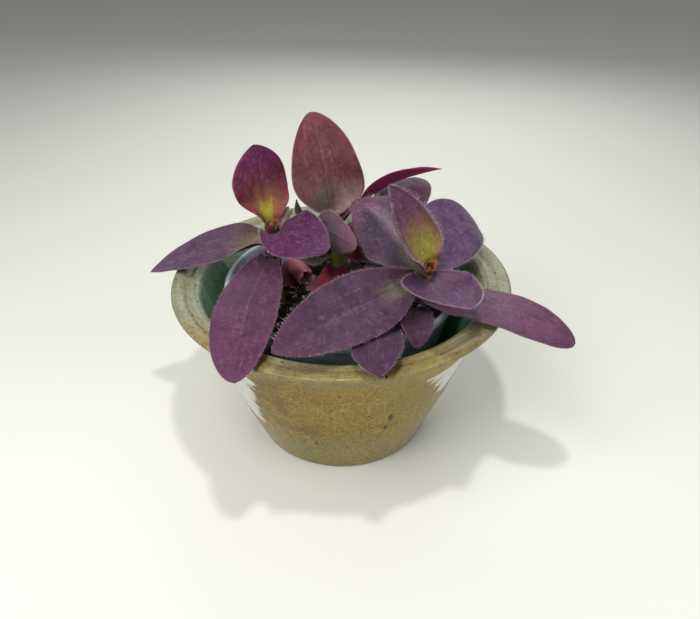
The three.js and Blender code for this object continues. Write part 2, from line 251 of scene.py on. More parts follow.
# %% [markdown]
# ## Floor, light and camera
#
# A plain pale floor, three large soft lights and a small one above, as in a small photo studio. The
# camera stands in front and looks down at a steep angle, with a 36 mm lens on a 36 mm sensor.

# %% Camera
CAMERA_PLACE = Vector((3.8, -270.0, 239.7)) * MM
CAMERA_TILT = math.radians(33.6)  # downwards
CAMERA_ROLL = math.radians(0.36)
LENS = 36  # in mm, and as wide as the sensor
camera = add_object("camera", bpy.data.cameras.new("camera"))
camera.data.lens = LENS
camera.data.sensor_width = LENS
camera.data.clip_start = 0.01
camera.matrix_world = (
    Matrix.Translation(CAMERA_PLACE)
    @ Matrix.Rotation(math.radians(90) - CAMERA_TILT, 4, "X")
    @ Matrix.Rotation(CAMERA_ROLL, 4, "Z")
)
bpy.context.scene.camera = camera

# %% Floor and lights
FLOOR_SIZE = 6.0
bm = bmesh.new()
bmesh.ops.create_grid(bm, x_segments=1, y_segments=1, size=FLOOR_SIZE / 2)
floor = add_object("floor", as_mesh("floor", bm))
floor_paint = Finish("floor_paint")
floor_paint.shade(base_color="#e9ebe2", roughness=0.9)
floor.data.materials.append(floor_paint.material)
floor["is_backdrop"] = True

LIGHTS = {  # place and target in mm, width in mm, watts, colour
    "key": ((-260, -330, 520), (0, 0, 70), 420, 3.0, (1.0, 0.97, 0.93)),
    "fill": ((420, -260, 330), (0, 0, 70), 500, 0.9, (0.93, 0.96, 1.0)),
    "back": ((60, 460, 420), (0, 0, 90), 500, 1.3, (1.0, 1.0, 1.0)),
    "top": ((10, -110, 560), (0, -70, 78), 30, 0.9, (1.0, 0.98, 0.95)),
}
for name, (place, target, width, power, colour) in LIGHTS.items():
    lamp = bpy.data.lights.new(name, "AREA")
    lamp.size = width * MM
    lamp.energy = power
    lamp.color = colour
    light = add_object(name, lamp)
    light.location = Vector(place) * MM
    light.rotation_euler = (Vector(target) - Vector(place)).to_track_quat("-Z", "Y").to_euler()

WORLD_STRENGTH = 0.2
world = bpy.data.worlds.new("studio")
world.use_nodes = True
background = world.node_tree.nodes["Background"]
background.inputs["Color"].default_value = (0.95, 0.97, 1.0, 1.0)
background.inputs["Strength"].default_value = WORLD_STRENGTH
bpy.context.scene.world = world
bpy.context.scene.view_settings.view_transform = "Standard"

# %% [markdown]
# ## The stoneware pot
#
# The real pot was thrown on a wheel, so its shape is one outline turned about the axis. A `spin` is
# the natural tool. The outline is coarse on purpose, and a Subdivision Surface rounds it. After
# that the points move a little: shallow throwing rings, and a rim that isn't quite round.

# %% Outline of the pot
POT_SPIN_STEPS = 96
POT_HEIGHT = 79.3
POT_OUTLINE = [  # radius and height in mm, from the centre of the foot
    (0, 0), (20, 0), (38, 0), (40.4, 0.1), (41.2, 0.8), (41.9, 3), (43.6, 8), (47.6, 18),
    (52.9, 32), (58.2, 48), (62.6, 62), (65.2, 69), (67, 72.2), (69.5, 74.5), (72.8, 75.8),
    (74.5, 76.7), (75, 77.9), (74.6, 78.9), (73.2, POT_HEIGHT), (71.2, 79.15), (69.4, 78.6),
    (68.2, 77.9), (67.5, 77.75), (66.7, 78.15), (65.2, 78.1), (63.4, 77.4), (62.1, 76), (61.3, 73),
    (58.2, 63), (53.6, 48), (48.3, 32), (43, 18), (39.4, 9.5), (37.6, 6.4), (35.4, 5.5), (18, 5.5),
    (0, 5.5),
]


def spun(outline, steps, layer_name=None):
    """A bmesh turned about Z from an outline. The layer tells how far along the outline a point is."""
    bm = bmesh.new()
    layer = bm.verts.layers.float.new(layer_name) if layer_name else None
    points = [Vector((radius, 0, height)) * MM for radius, height in outline]
    steps_between = [(b - a).length for a, b in zip(points, points[1:])]
    run, total = 0.0, sum(steps_between)
    verts = []
    for point, step in zip(points, [0.0] + steps_between):
        run += step
        vert = bm.verts.new(point)
        if layer is not None:
            vert[layer] = run / total
        verts.append(vert)
    edges = [bm.edges.new(pair) for pair in zip(verts, verts[1:])]
    bmesh.ops.spin(bm, geom=verts + edges, cent=(0, 0, 0), axis=(0, 0, 1), angle=math.tau,
                   steps=steps, use_merge=True, use_duplicate=False)
    bmesh.ops.remove_doubles(bm, verts=bm.verts, dist=1e-6)
    bmesh.ops.recalc_face_normals(bm, faces=bm.faces)
    return bm


# %% [markdown]
# ### The glaze
#
# A green-brown stoneware glaze has no even colour. It is ochre on the wall, greyer towards the foot,
# grey-green on the flat rim and celadon inside. Some of the colour is painted light: the wall is
# lighter just under the rim as a painted reflection, the celadon darkens further down as painted
# shade, and the inner slope of the rim is browner and darker to the right as painted shade and a
# painted reflection. The recipe mixes these by how far along the outline a point is, and adds cloudy
# patches, iron specks and the fine net of craze lines. Two broad strokes of white slip lie on the
# flanks: in the stroke's own directions, noise drawn out lengthwise gives the marks of the bristles.

# %% Glaze
DEEP_OCHRE = "#6c4e10"
OCHRE = "#8b7029"
KHAKI = "#87762e"
GREY_GREEN = "#8a8050"
# the next colour is a painted reflection: the wall lighter just under the rim
UNDER_RIM_REFLECTION = "#b08e3b"
RIM_GLAZE = "#8d8f76"
RIM_PATCHES = "#807f63"
RIM_OCHRE = "#8f7f4c"
RIM_BROWN = "#7c5c34"
CELADON = "#78aa8a"
# the celadon further down inside, darkened as painted shade
SHADED_DEEP_CELADON = "#1f663e"
PALE_SLOPE = "#97a48c"  # the inner slope of the rim, to the left
# to the right the inner slope is painted browner and darker, as shade and a warm reflection
SHADED_WARM_SLOPE = "#7e7450"  # the same, to the right
CRAZE = "#c9b478"
IRON = "#2a2012"
SLIP = "#dcdcd6"
BARE_CLAY = "#8a7257"

CRAZE_NETS = ((240, 0.045, 1.0), (480, 0.05, 0.5))  # scale, width of a line and strength
SPECKS = (  # scale, size, rarity, how far they are drawn out, channel
    (330, (0.12, 0.24), (0.78, 0.82), 1.0, 0),
    (700, (0.15, 0.3), (0.8, 0.84), 1.0, 0),
    (210, (0.08, 0.16), (0.86, 0.9), 0.35, 1),
)
IRON_BLOOMS = (  # places and sizes of the largest iron spots, in metres
    ((0.0210, -0.0517, 0.0407), 0.0014),
    ((0.0193, -0.0494, 0.0323), 0.0011),
)

SLIP_STROKES = [
    # azimuth of the middle and direction from level, in degrees, then in mm the low and the high side
    # and where the bristles touch down and lift, and last how far the end leans
    (-140, -35, 20, 56, -80, 1.7, 0.44),
    (-30, 215, 39.5, 72, -70, -15.5, 0.0),
]
STROKE_WALL_RADIUS = 56 * MM


def slip_stroke(glaze, azimuth, lean, low, high, start, stop, skew):
    """How much white slip covers the wall, from 0 to 1."""
    facing = glaze.turned(glaze.place(), -math.radians(azimuth))
    x, y, z = glaze.parts(facing)
    around = glaze.times(glaze.math("ARCTAN2", y, x), STROKE_WALL_RADIUS)
    slanted = glaze.turned(glaze.vector(around, z), -math.radians(lean))
    along, across, _ = glaze.parts(slanted)
    up = glaze.times(across, 1 if abs(lean) < 90 else -1)
    drawn_out = glaze.times(along, 0.06)
    bristles = glaze.noise(glaze.vector(drawn_out, across), 1100, 4, 0.65)
    fingers = glaze.noise(glaze.vector(drawn_out, across), 330, 3, 0.6)
    reach = glaze.plus(along, glaze.times(up, skew))
    reach = glaze.swayed(reach, fingers, 16 * MM)
    head = glaze.between(reach, (stop - 0.5) * MM, (stop + 0.5) * MM, 1, 0)
    edge = glaze.swayed(up, bristles, 3 * MM)
    sides = glaze.times(glaze.between(edge, low * MM, (low + 1) * MM),
                       glaze.between(edge, (high - 1) * MM, high * MM, 1, 0))
    dryness = glaze.between(reach, (stop - 9) * MM, stop * MM, 0.22, 0.47)
    dry_start = glaze.between(reach, start * MM, (start + 30) * MM, 0.7, 0.22)
    dryness = glaze.larger(dryness, dry_start)
    cover = glaze.between(glaze.minus(bristles, dryness), -0.02, 0.03)
    mask = glaze.times(head, glaze.times(sides, cover))
    return glaze.times(mask, glaze.between(x, 0, 5 * MM))


def craze_lines(glaze, place, patches, clouds):
    """The fine pale net of cracks, stronger in some places than in others."""
    shift = glaze.vector(glaze.times(patches, 0.006), glaze.times(clouds, 0.008))
    bent = glaze.add("VectorMath", {0: place, 1: shift}, operation="ADD").outputs["Vector"]
    lines = 0.0
    for scale, width, strength in CRAZE_NETS:
        to_crack = glaze.cells(bent, scale, "DISTANCE_TO_EDGE")
        lines = glaze.larger(lines, glaze.between(to_crack, 0.0, width, strength, 0))
    return glaze.times(lines, glaze.between(clouds, 0.38, 0.62, 0.14, 0.5))


def iron_specks(glaze, place):
    """Dark dots of two sizes, a few long drips, and the two largest spots."""
    dots = 0.0
    for scale, size, rarity, drawn_out, channel in SPECKS:
        stretched = glaze.turned(place, 0.0, (1, 1, drawn_out))
        dots = glaze.larger(dots, glaze.spots(stretched, scale, size, rarity, channel))
    rough_place = glaze.noise(place, 900, 2, 0.6)
    for centre, size in IRON_BLOOMS:
        apart = glaze.add("VectorMath", {0: place, 1: centre}, operation="SUBTRACT").outputs["Vector"]
        apart = glaze.turned(apart, 0.0, (1, 1, 0.4))
        gap = glaze.add("VectorMath", {0: apart}, operation="LENGTH").outputs["Value"]
        gap = glaze.times(gap, glaze.between(rough_place, 0.3, 0.7, 0.5, 1.7))
        dots = glaze.larger(dots, glaze.between(gap, size * 0.6, size, 1, 0))
    return dots


def wall_colour(glaze, place, patches, clouds):
    """Ochre to the left and in the middle, khaki to the right and behind, grey-green at the foot. A
    lighter band just under the rim is a painted reflection.
    """
    x, y, z = glaze.parts(place)
    right_side = glaze.swayed(x, patches, 0.12)
    return glaze.layered(DEEP_OCHRE, (
        (OCHRE, right_side, -0.045, -0.005),
        (KHAKI, right_side, 0.0, 0.045),
        (KHAKI, y, -0.01, 0.04, 0, 0.6),
        (KHAKI, clouds, 0.45, 0.65, 0, 0.3),
        (GREY_GREEN, glaze.swayed(z, patches, 0.04), 0.008, 0.034, 0.85, 0),
        # a painted reflection lightens the wall just under the rim
        (UNDER_RIM_REFLECTION, z, 0.056, 0.072, 0, 0.6),
    ))


def inside_colour(glaze, place, patches):
    x, _, z = glaze.parts(place)
    # to the right, the inner slope is browner and darker: painted shade and a painted reflection
    slope = glaze.layered(PALE_SLOPE, [(SHADED_WARM_SLOPE, glaze.swayed(x, patches, 0.12), 0.0, 0.03)])
    # lower down, the celadon turns darker: painted shade
    layers = [(CELADON, z, 0.04, 0.074), (slope, z, 0.066, 0.076, 0, 0.85)]
    return glaze.layered(SHADED_DEEP_CELADON, layers)


def rim_colour(glaze, place, patches, clouds):
    front = glaze.swayed(glaze.parts(place)[1], clouds, 0.03)
    layers = [(RIM_PATCHES, patches, 0.4, 0.62), (RIM_OCHRE, front, -0.058, -0.025, 0.9, 0)]
    return glaze.layered(RIM_GLAZE, layers)


def stoneware_glaze():
    glaze = Finish("stoneware_glaze")
    place = glaze.place()
    run = glaze.attribute("outline_share")
    clouds = glaze.noise(place, 30, 4, 0.6)
    patches = glaze.noise(place, 75, 5, 0.65, 0.6)
    grain = glaze.noise(place, 700, 3, 0.65)
    colour = glaze.layered(wall_colour(glaze, place, patches, clouds), (
        (rim_colour(glaze, place, patches, clouds), run, 0.425, 0.445),
        (inside_colour(glaze, place, patches), run, 0.53, 0.57),
    ))

    # on the sharp edge of the rim the glaze runs thin and the warm clay shows
    thin = glaze.times(glaze.between(run, 0.444, 0.458), glaze.between(run, 0.47, 0.486, 1, 0))
    colour = glaze.covered(colour, [(RIM_BROWN, thin, glaze.between(patches, 0.35, 0.6, 0.3, 0.9))])
    mottle = glaze.plus(glaze.between(grain, 0.3, 0.7, 0.74, 1.12),
                        glaze.between(patches, 0.3, 0.7, -0.08, 0.08))
    colour = glaze.toned(colour, mottle)

    lines = craze_lines(glaze, place, patches, clouds)
    lines = glaze.times(lines, glaze.between(run, 0.43, 0.5, 1, 0.25))
    white = 0.0
    for stroke in SLIP_STROKES:
        white = glaze.larger(slip_stroke(glaze, *stroke), white)
    white = glaze.times(white, glaze.between(run, 0.41, 0.42, 1, 0))
    bare = glaze.between(glaze.parts(place)[2], 0.0002, 0.0007, 1, 0)
    colour = glaze.covered(colour, (
        (CRAZE, lines, 1.0), (IRON, iron_specks(glaze, place), 0.9), (SLIP, white, 0.95),
        (BARE_CLAY, bare, 1.0),
    ))

    rough = glaze.larger(glaze.between(patches, 0.3, 0.7, 0.13, 0.26), glaze.times(white, 0.55))
    rough = glaze.larger(rough, glaze.times(bare, 0.85))
    height = glaze.plus(glaze.times(patches, 0.5), glaze.times(white, 0.4))
    height = glaze.minus(height, glaze.times(lines, 0.12))
    glaze.shade(base_color=colour, roughness=rough, ior=1.45, specular_ior_level=0.24,
                normal=glaze.bump(height, 0.25 * MM, 0.6))
    return glaze.material


# %% Throw the pot
RING_PITCH = 5.2 * MM
RING_DEPTH = 0.13 * MM
OUT_OF_ROUND = 0.3 * MM
DENT_DEPTH = 0.25 * MM
DENT_SCALE = 28  # dents per metre
FOOT_RADIUS = 30 * MM  # nothing moves inside it or under the foot's height
FOOT_HEIGHT = 1 * MM


def throw_marks(mesh):
    """Shallow spiral rings on the wall and a rim a little out of round."""
    for vert in mesh.vertices:
        x, y, z = vert.co
        radius = math.hypot(x, y)
        if radius < FOOT_RADIUS or z < FOOT_HEIGHT:
            continue
        angle = math.atan2(y, x)
        wall = smoothstep((z - 4 * MM) / (8 * MM)) * smoothstep((74 * MM - z) / (6 * MM))
        rings = RING_DEPTH * wall * math.sin(math.tau * z / RING_PITCH + angle)
        oval = OUT_OF_ROUND * (z / (POT_HEIGHT * MM)) * math.sin(2 * angle + 0.7)
        dents = DENT_DEPTH * noise.noise(Vector((x, y, z)) * DENT_SCALE)
        scale = 1 + (rings + oval + dents * wall) / radius
        vert.co = (x * scale, y * scale, z)


pot_bm = spun(POT_OUTLINE, POT_SPIN_STEPS, "outline_share")
pot = make_piece("pot", pot_bm, stoneware_glaze(), ["ceramic_pot"])
throw_marks(subdivide(pot, 2))
print("pot:", len(pot.data.polygons), "faces")

# %% [markdown]
# ## The growing pot
#
# A thin pot of pale blue-grey plastic with a rolled lip. Its wall is spun as well, and its floor is
# filled between the wall and six drain holes by `triangle_fill`, on both faces. Bridging the
# circles gives each hole its wall.

# %% Growing pot
LINER_FLOOR = (5.85, 7.05)  # under and upper face
LINER_FLOOR_EDGE = 31.0  # where the wall's foot ends and the flat floor starts
LINER_OUTLINE = [
    (LINER_FLOOR_EDGE, 5.85), (34.0, 5.85), (34.5, 6.2), (36.7, 15), (38.8, 24), (43.1, 42),
    (46.5, 56), (50.5, 72.9), (51.1, 73.6), (51.9, 73.8), (52.25, 74.4), (52.3, 75.9),
    (52.2, 76.9), (51.7, 77.4), (51.0, 77.5), (50.3, 77.3), (49.9, 76.6), (49.7, 75.7),
    (49.4, 75.1), (49.3, 74.1), (49.0, 72.3), (45.3, 56), (41.9, 42), (37.6, 24), (35.5, 15),
    (33.5, 7.5), (32.8, 7.05), (LINER_FLOOR_EDGE, 7.05),
]
DRAIN_HOLES = 6
DRAIN_RADIUS = 3.5
DRAIN_RING = 25.0
LINER_SPIN_STEPS = 72


def drained_floor(bm):
    """Closes the bottom on both faces, with round holes through it."""
    hole_rims = []
    for height in LINER_FLOOR:
        outer = [e for e in bm.edges if e.is_boundary
                 and all(abs(v.co.z - height * MM) < 0.1 * MM for v in e.verts)]
        rims = []
        for hole in range(DRAIN_HOLES):
            angle = math.tau * hole / DRAIN_HOLES
            centre = Vector((DRAIN_RING * math.cos(angle), DRAIN_RING * math.sin(angle), height)) * MM
            made = bmesh.ops.create_circle(bm, segments=24, radius=DRAIN_RADIUS * MM,
                                           matrix=Matrix.Translation(centre))
            rims.append(list({e for v in made["verts"] for e in v.link_edges}))
        bmesh.ops.triangle_fill(bm, use_beauty=True, edges=outer + [e for rim in rims for e in rim])
        hole_rims.append(rims)
    for lower, upper in zip(*hole_rims):
        bmesh.ops.bridge_loops(bm, edges=lower + upper)
    bmesh.ops.recalc_face_normals(bm, faces=bm.faces)


def liner_plastic():
    plastic = Finish("liner_plastic")
    place = plastic.place()
    scuffs = plastic.noise(place, 300, 4, 0.7)
    dust = plastic.noise(place, 60, 4, 0.6)
    colour = plastic.layered("#a9b4bd", [("#8f9aa2", dust, 0.4, 0.7)])
    height = plastic.plus(plastic.parts(place)[2], plastic.times(scuffs, 0.006))
    # below the lip the plastic turns darker grey, in patches by the dust pattern
    darker_below_lip = plastic.between(height, 0.069, 0.075, 0.75, 0)
    colour = plastic.covered(colour, [("#4a4a48", darker_below_lip, dust)])
    plastic.shade(base_color=colour, roughness=plastic.between(scuffs, 0.3, 0.7, 0.34, 0.5),
                  normal=plastic.bump(scuffs, 0.05 * MM),
                  subsurface_weight=0.15, subsurface_scale=0.002)
    return plastic.material


liner_bm = spun(LINER_OUTLINE, LINER_SPIN_STEPS)
drained_floor(liner_bm)
make_piece("growing_pot", liner_bm, liner_plastic(), ["nursery_pot"])

# %% [markdown]
# ## Potting mix
#
# The mix is dark, coarse and crumbly. One spun body fills the pot, and noise makes its top uneven.
# On it lie loose bits: crumbs, bark, pale perlite and fine roots. There are many crumbs, so each is
# an icosphere of only twenty faces with its corners pushed about.

# %% Body of the mix
SOIL_TOP = 60.5
SOIL_RELIEF = 1.1  # of the broad lumps, as in the frame
CRUMBLE = 0.9  # of the crumbs over them
SOIL_RADIUS = 46.0
SOIL_OUTLINE = [
    (0, 7.4), (16, 7.4), (32, 7.4), (33.4, 9), (39.6, 34), (45.2, 57.5), (SOIL_RADIUS - 0.2, 60),
]
SOIL_RINGS = 40
SOIL_SPIN_STEPS = 150


def broad_lumps(x, y):
    """The frame's own relief. x and y are in mm."""
    waves = math.sin(0.21 * x + 0.4) * math.cos(0.17 * y) + 0.5 * math.sin(0.43 * x - 0.31 * y)
    return SOIL_RELIEF * waves


def soil_height(x, y):
    """Height of the mix in mm."""
    point = Vector((x, y, 0))
    crumbs = noise.noise(point * 0.45) + 0.6 * noise.noise(point * 1.1) + 0.4 * noise.noise(point * 2.3)
    edge = smoothstep((SOIL_RADIUS - math.hypot(x, y)) / 3)
    return SOIL_TOP + (broad_lumps(x, y) + CRUMBLE * crumbs) * edge - 0.6 * (1 - edge)


def potting_mix():
    look = Finish("potting_mix")
    place = look.place()
    coarse = look.noise(place, 260, 5, 0.7)
    fine = look.noise(place, 1400, 4, 0.7)
    layers = [("#33261d", coarse, 0.35, 0.7), ("#4a392b", fine, 0.55, 0.75, 0, 0.5)]
    height = look.plus(coarse, look.times(fine, 0.4))
    look.shade(base_color=look.layered("#0f0c0a", layers), roughness=0.95,
               normal=look.bump(height, 0.6 * MM), specular_ior_level=0.2)
    return look.material


top_rings = [(SOIL_RADIUS * (1 - ring / SOIL_RINGS), SOIL_TOP) for ring in range(SOIL_RINGS + 1)]
soil_bm = spun(SOIL_OUTLINE + top_rings, SOIL_SPIN_STEPS)
for vert in soil_bm.verts:
    if vert.co.z > (SOIL_TOP - 0.1) * MM:
        vert.co.z = soil_height(vert.co.x / MM, vert.co.y / MM) * MM
mix_material = potting_mix()
make_piece("potting_mix", soil_bm, mix_material, ["soil"])

# %% [markdown]
# ### Loose bits on the mix
#
# A shape that is wanted many times is made once and doubled until there are enough. Each copy gets
# its number, and from that number its own place, size and turn. The random numbers are seeded, so
# the same bits lie in the same places every time.


# %% Doubling a shape
def multiplied(bm, count):
    """Copies the shape in a bmesh until there are count of it, numbered in the layer "copy"."""
    number = bm.verts.layers.int.new("copy")
    made = 1
    while made < count:
        take = min(made, count - made)
        chosen = [face for face in bm.faces if face.verts[0][number] < take]
        for item in bmesh.ops.duplicate(bm, geom=chosen)["geom"]:
            if isinstance(item, bmesh.types.BMVert):
                item[number] += made
        made += take
    return number


def random_turn(rng):
    about_x, about_y, about_z = (Matrix.Rotation(rng.uniform(0, math.tau), 3, axis) for axis in "XYZ")
    return about_x @ about_y @ about_z


def on_the_mix(rng, sunk):
    """A random place on the mix, in mm, which lies sunk below a bit's middle."""
    radius = (SOIL_RADIUS - 2.5) * math.sqrt(rng.random())
    angle = rng.uniform(0, math.tau)
    x, y = radius * math.cos(angle), radius * math.sin(angle)
    return Vector((x, y, soil_height(x, y) + sunk))


def scattered(name, bm, places, sizes, turns, material, roughness=0.25):
    """Sets the numbered copies of a unit shape on their places and makes their corners uneven."""
    number = multiplied(bm, len(places))
    for vert in bm.verts:
        k = vert[number]
        uneven = 1 + roughness * noise.noise(vert.co * 2.1 + Vector((k * 3.7, 0, 0)))
        local = Vector([c * s for c, s in zip(vert.co * uneven, sizes[k])])
        vert.co = (places[k] + turns[k] @ local) * MM
    make_piece(name, bm, material)


# %% Crumbs, perlite and bark
CRUMBS = 1500
PERLITE = 46
BARK = 60
PERLITE_IN_SIGHT = ((-23, 10), (-19, 43), (-28, 32), (-26.5, -9), (-20, -3), (31, -16))


def two_toned(look, pattern, dark, light, roughness, depth, high=0.65):
    """Finishes a look whose colour and fine relief both follow one pattern."""
    colour = look.layered(dark, [(light, pattern, 0.35, high)])
    look.shade(base_color=colour, roughness=roughness, normal=look.bump(pattern, depth * MM))
    return look.material


def perlite_stone():
    stone = Finish("perlite")
    pits = stone.noise(stone.place(), 1600, 3, 0.6)
    return two_toned(stone, pits, "#8f8578", "#e3ded2", 0.9, 0.2, 0.6)


def bark_wood():
    wood = Finish("bark")
    fibres = wood.noise(wood.turned(wood.place(), 0.4, (1, 0.2, 1)), 1500, 4, 0.65)
    return two_toned(wood, fibres, "#2c1a10", "#6a4a30", 0.85, 0.3)


rng = random.Random(7)
bm = bmesh.new()
bmesh.ops.create_icosphere(bm, subdivisions=1, radius=1)
places = [on_the_mix(rng, 0.1) for _ in range(CRUMBS)]
sizes = [[rng.uniform(0.25, 0.5) + 0.9 * rng.random() ** 4] * 3 for _ in places]
sizes = [[size[0] * rng.uniform(0.7, 1.2) for _ in range(3)] for size in sizes]
scattered("crumbs", bm, places, sizes, [random_turn(rng) for _ in places], mix_material, 0.7)

bm = bmesh.new()
bmesh.ops.create_icosphere(bm, subdivisions=2, radius=1)
places = [on_the_mix(rng, 0.2) for _ in range(PERLITE)]
for k, (x, y) in enumerate(PERLITE_IN_SIGHT):
    places[k] = Vector((x, y, soil_height(x, y) + 0.4))
sizes = [[rng.uniform(0.5, 1.2) for _ in range(3)] for _ in places]
scattered("perlite", bm, places, sizes, [random_turn(rng) for _ in places], perlite_stone(), 0.8)

bm = bmesh.new()
bmesh.ops.create_cube(bm, size=1.6)
bmesh.ops.bevel(bm, geom=bm.edges[:], offset=0.3, offset_type="OFFSET", segments=1, profile=0.5,
                affect="EDGES", material=-1)
places = [on_the_mix(rng, 0.3) for _ in range(BARK)]
sizes = [(rng.uniform(1, 2.6), rng.uniform(0.5, 1.2), rng.uniform(0.2, 0.45)) for _ in places]
turns = [Matrix.Rotation(rng.uniform(-0.5, 0.5), 3, "X") @ Matrix.Rotation(rng.uniform(0, 6.3), 3, "Z")
         for _ in places]
scattered("bark", bm, places, sizes, turns, bark_wood(), 0.6)


# %% Fine roots
ROOTS = 36
ROOT_STEPS = 10
ROOT_RADII = (0.1, 0.24)
STRAND_END = 0.4  # radius at its end, as a share of that at its start
CURL_PLACE = Vector((-23.6, 12.6, 62.9))
CURL_SIZE = (1.8, 1.1)  # half its width and half its height
CURL_RADIUS = 0.5


def cylinder(sides, rings):
    """An upright unit cylinder with rings between its ends. Returns it with its top face."""
    bm = bmesh.new()
    bmesh.ops.create_cone(bm, cap_ends=True, segments=sides, radius1=1, radius2=1, depth=1)
    upright = [e for e in bm.edges if abs(e.verts[0].co.z - e.verts[1].co.z) > 0.5]
    bmesh.ops.subdivide_edges(bm, edges=upright, cuts=rings)
    top = max(bm.faces, key=lambda face: face.calc_center_median().z)
    return bm, top


def strand(path, radius, sides):
    """A cylinder moved onto a path of places in mm. It gets thinner towards its end."""
    bm, _ = cylinder(sides, len(path) - 2)
    for vert in bm.verts:
        k = round((vert.co.z + 0.5) * (len(path) - 1))
        direction = (path[min(k + 1, len(path) - 1)] - path[max(k - 1, 0)]).normalized()
        side, over = square_to(direction, direction.orthogonal())
        thickness = radius * mix(1, STRAND_END, k / len(path))
        vert.co = (path[k] + (side * vert.co.y + over * vert.co.x) * thickness) * MM
    bmesh.ops.recalc_face_normals(bm, faces=bm.faces)
    return as_mesh("strand", bm)


def strands(name, paths, radii, material, sides=5):
    """Thin round strands as one piece."""
    bm = bmesh.new()
    for path, radius in zip(paths, radii):
        mesh = strand(path, radius, sides)
        bm.from_mesh(mesh)
        bpy.data.meshes.remove(mesh)
    make_piece(name, bm, material)


def root_path(rng):
    """A short root that winds over the mix."""
    place = on_the_mix(rng, 0.3)
    heading = rng.uniform(0, math.tau)
    stride = rng.uniform(0.5, 1.3)
    path = []
    for _ in range(ROOT_STEPS):
        radius = math.hypot(place.x, place.y)
        if radius > SOIL_RADIUS - 2:
            break
        path.append(Vector((place.x, place.y, soil_height(place.x, place.y) + 0.3)))
        heading += rng.uniform(-0.5, 0.5)
        place = place + Vector((math.cos(heading), math.sin(heading), 0)) * stride
    return path


root_material = perlite_stone()
rng = random.Random(19)
paths = [path for path in (root_path(rng) for _ in range(ROOTS)) if len(path) > 3]
across, up = CURL_SIZE
curl = [CURL_PLACE + Vector((across * math.cos(a), up * math.sin(a), up * math.sin(a)))
        for a in np.linspace(-2.6, 2.4, 14)]
radii = [rng.uniform(*ROOT_RADII) for _ in paths]
strands("roots", paths + [curl], radii + [CURL_RADIUS], root_material)

# %% [markdown]
# ## Shoots
#
# A shoot is a short fleshy stem. It follows a smooth curve from the soil to its tip and swells a
# little at every node, where a leaf is attached. A cylinder with many rings is moved onto that
# curve: each point keeps its place round the stem and its share of the length.

# %% Curves of the shoots
SHOOTS = {  # places in mm, then the radius at the soil and at the tip
    "left": ((-29, 7, 58), (-32, 4, 84), (-30, 0, 104), 3.0, 1.6),
    "middle": ((2, 15, 60), (-2, 20, 80), (-4, 24, 97), 3.0, 1.8),
    "right": ((27, -8, 60), (30, -13, 80), (35, -28, 98.5), 3.2, 1.6),
    "back": ((20, 12, 60), (20, 16, 76), (20, 19, 92), 2.6, 1.6),
    "front": ((24, -26, 58), (22, -30, 66), (21, -33, 74), 2.4, 1.6),
}
CUT_STEM = ((-26, 24, 58), (-27, 24, 77), (-16.5, 7, 73), 4.5, 4.2)
CURVE_SAMPLES = 200


class Shoot:
    """A quadratic curve, measured along its own length."""

    def __init__(self, root, through, tip, thick, thin):
        share = np.linspace(0, 1, CURVE_SAMPLES + 1)
        weights = np.stack([(1 - share) ** 2, 2 * share * (1 - share), share ** 2])
        self.places = weights.T @ np.array([root, through, tip], float)
        strides = np.linalg.norm(np.diff(self.places, axis=0), axis=1)
        run = np.concatenate([[0.0], np.cumsum(strides)])
        self.length = run[-1]
        self.shares = run / self.length
        self.directions = np.gradient(self.places, self.shares, axis=0)
        self.thick, self.thin = thick, thin

    def at(self, share):
        """Place, direction and radius at a share of the length. Past the ends it runs straight on."""
        held = min(max(share, 0.0), 1.0)
        place, direction = (Vector([np.interp(held, self.shares, column) for column in table.T])
                            for table in (self.places, self.directions))
        direction.normalize()
        place += direction * (share - held) * self.length
        return place, direction, mix(self.thick, self.thin, held)


shoots = {name: Shoot(*values) for name, values in SHOOTS.items()}
print("shoots, mm long:", {name: round(shoot.length, 1) for name, shoot in shoots.items()})

# %% [markdown]
# ## Leaves
#
# Every leaf starts as a collar round the stem, opens over a few millimetres and unrolls into a
# blade. The frame's leaf has a few facets, so each one is made again with a fine grid, by the same
# measures: the midrib runs off in the leaf's heading, and each row bends from its crease at the
# midrib to its cup at the margin. An extrusion gives the grid its second face and its edge. The
# fine leaf is thick at the midrib and thin at the margin. It also has a groove along the midrib,
# low ribs and an edge that is not quite even.

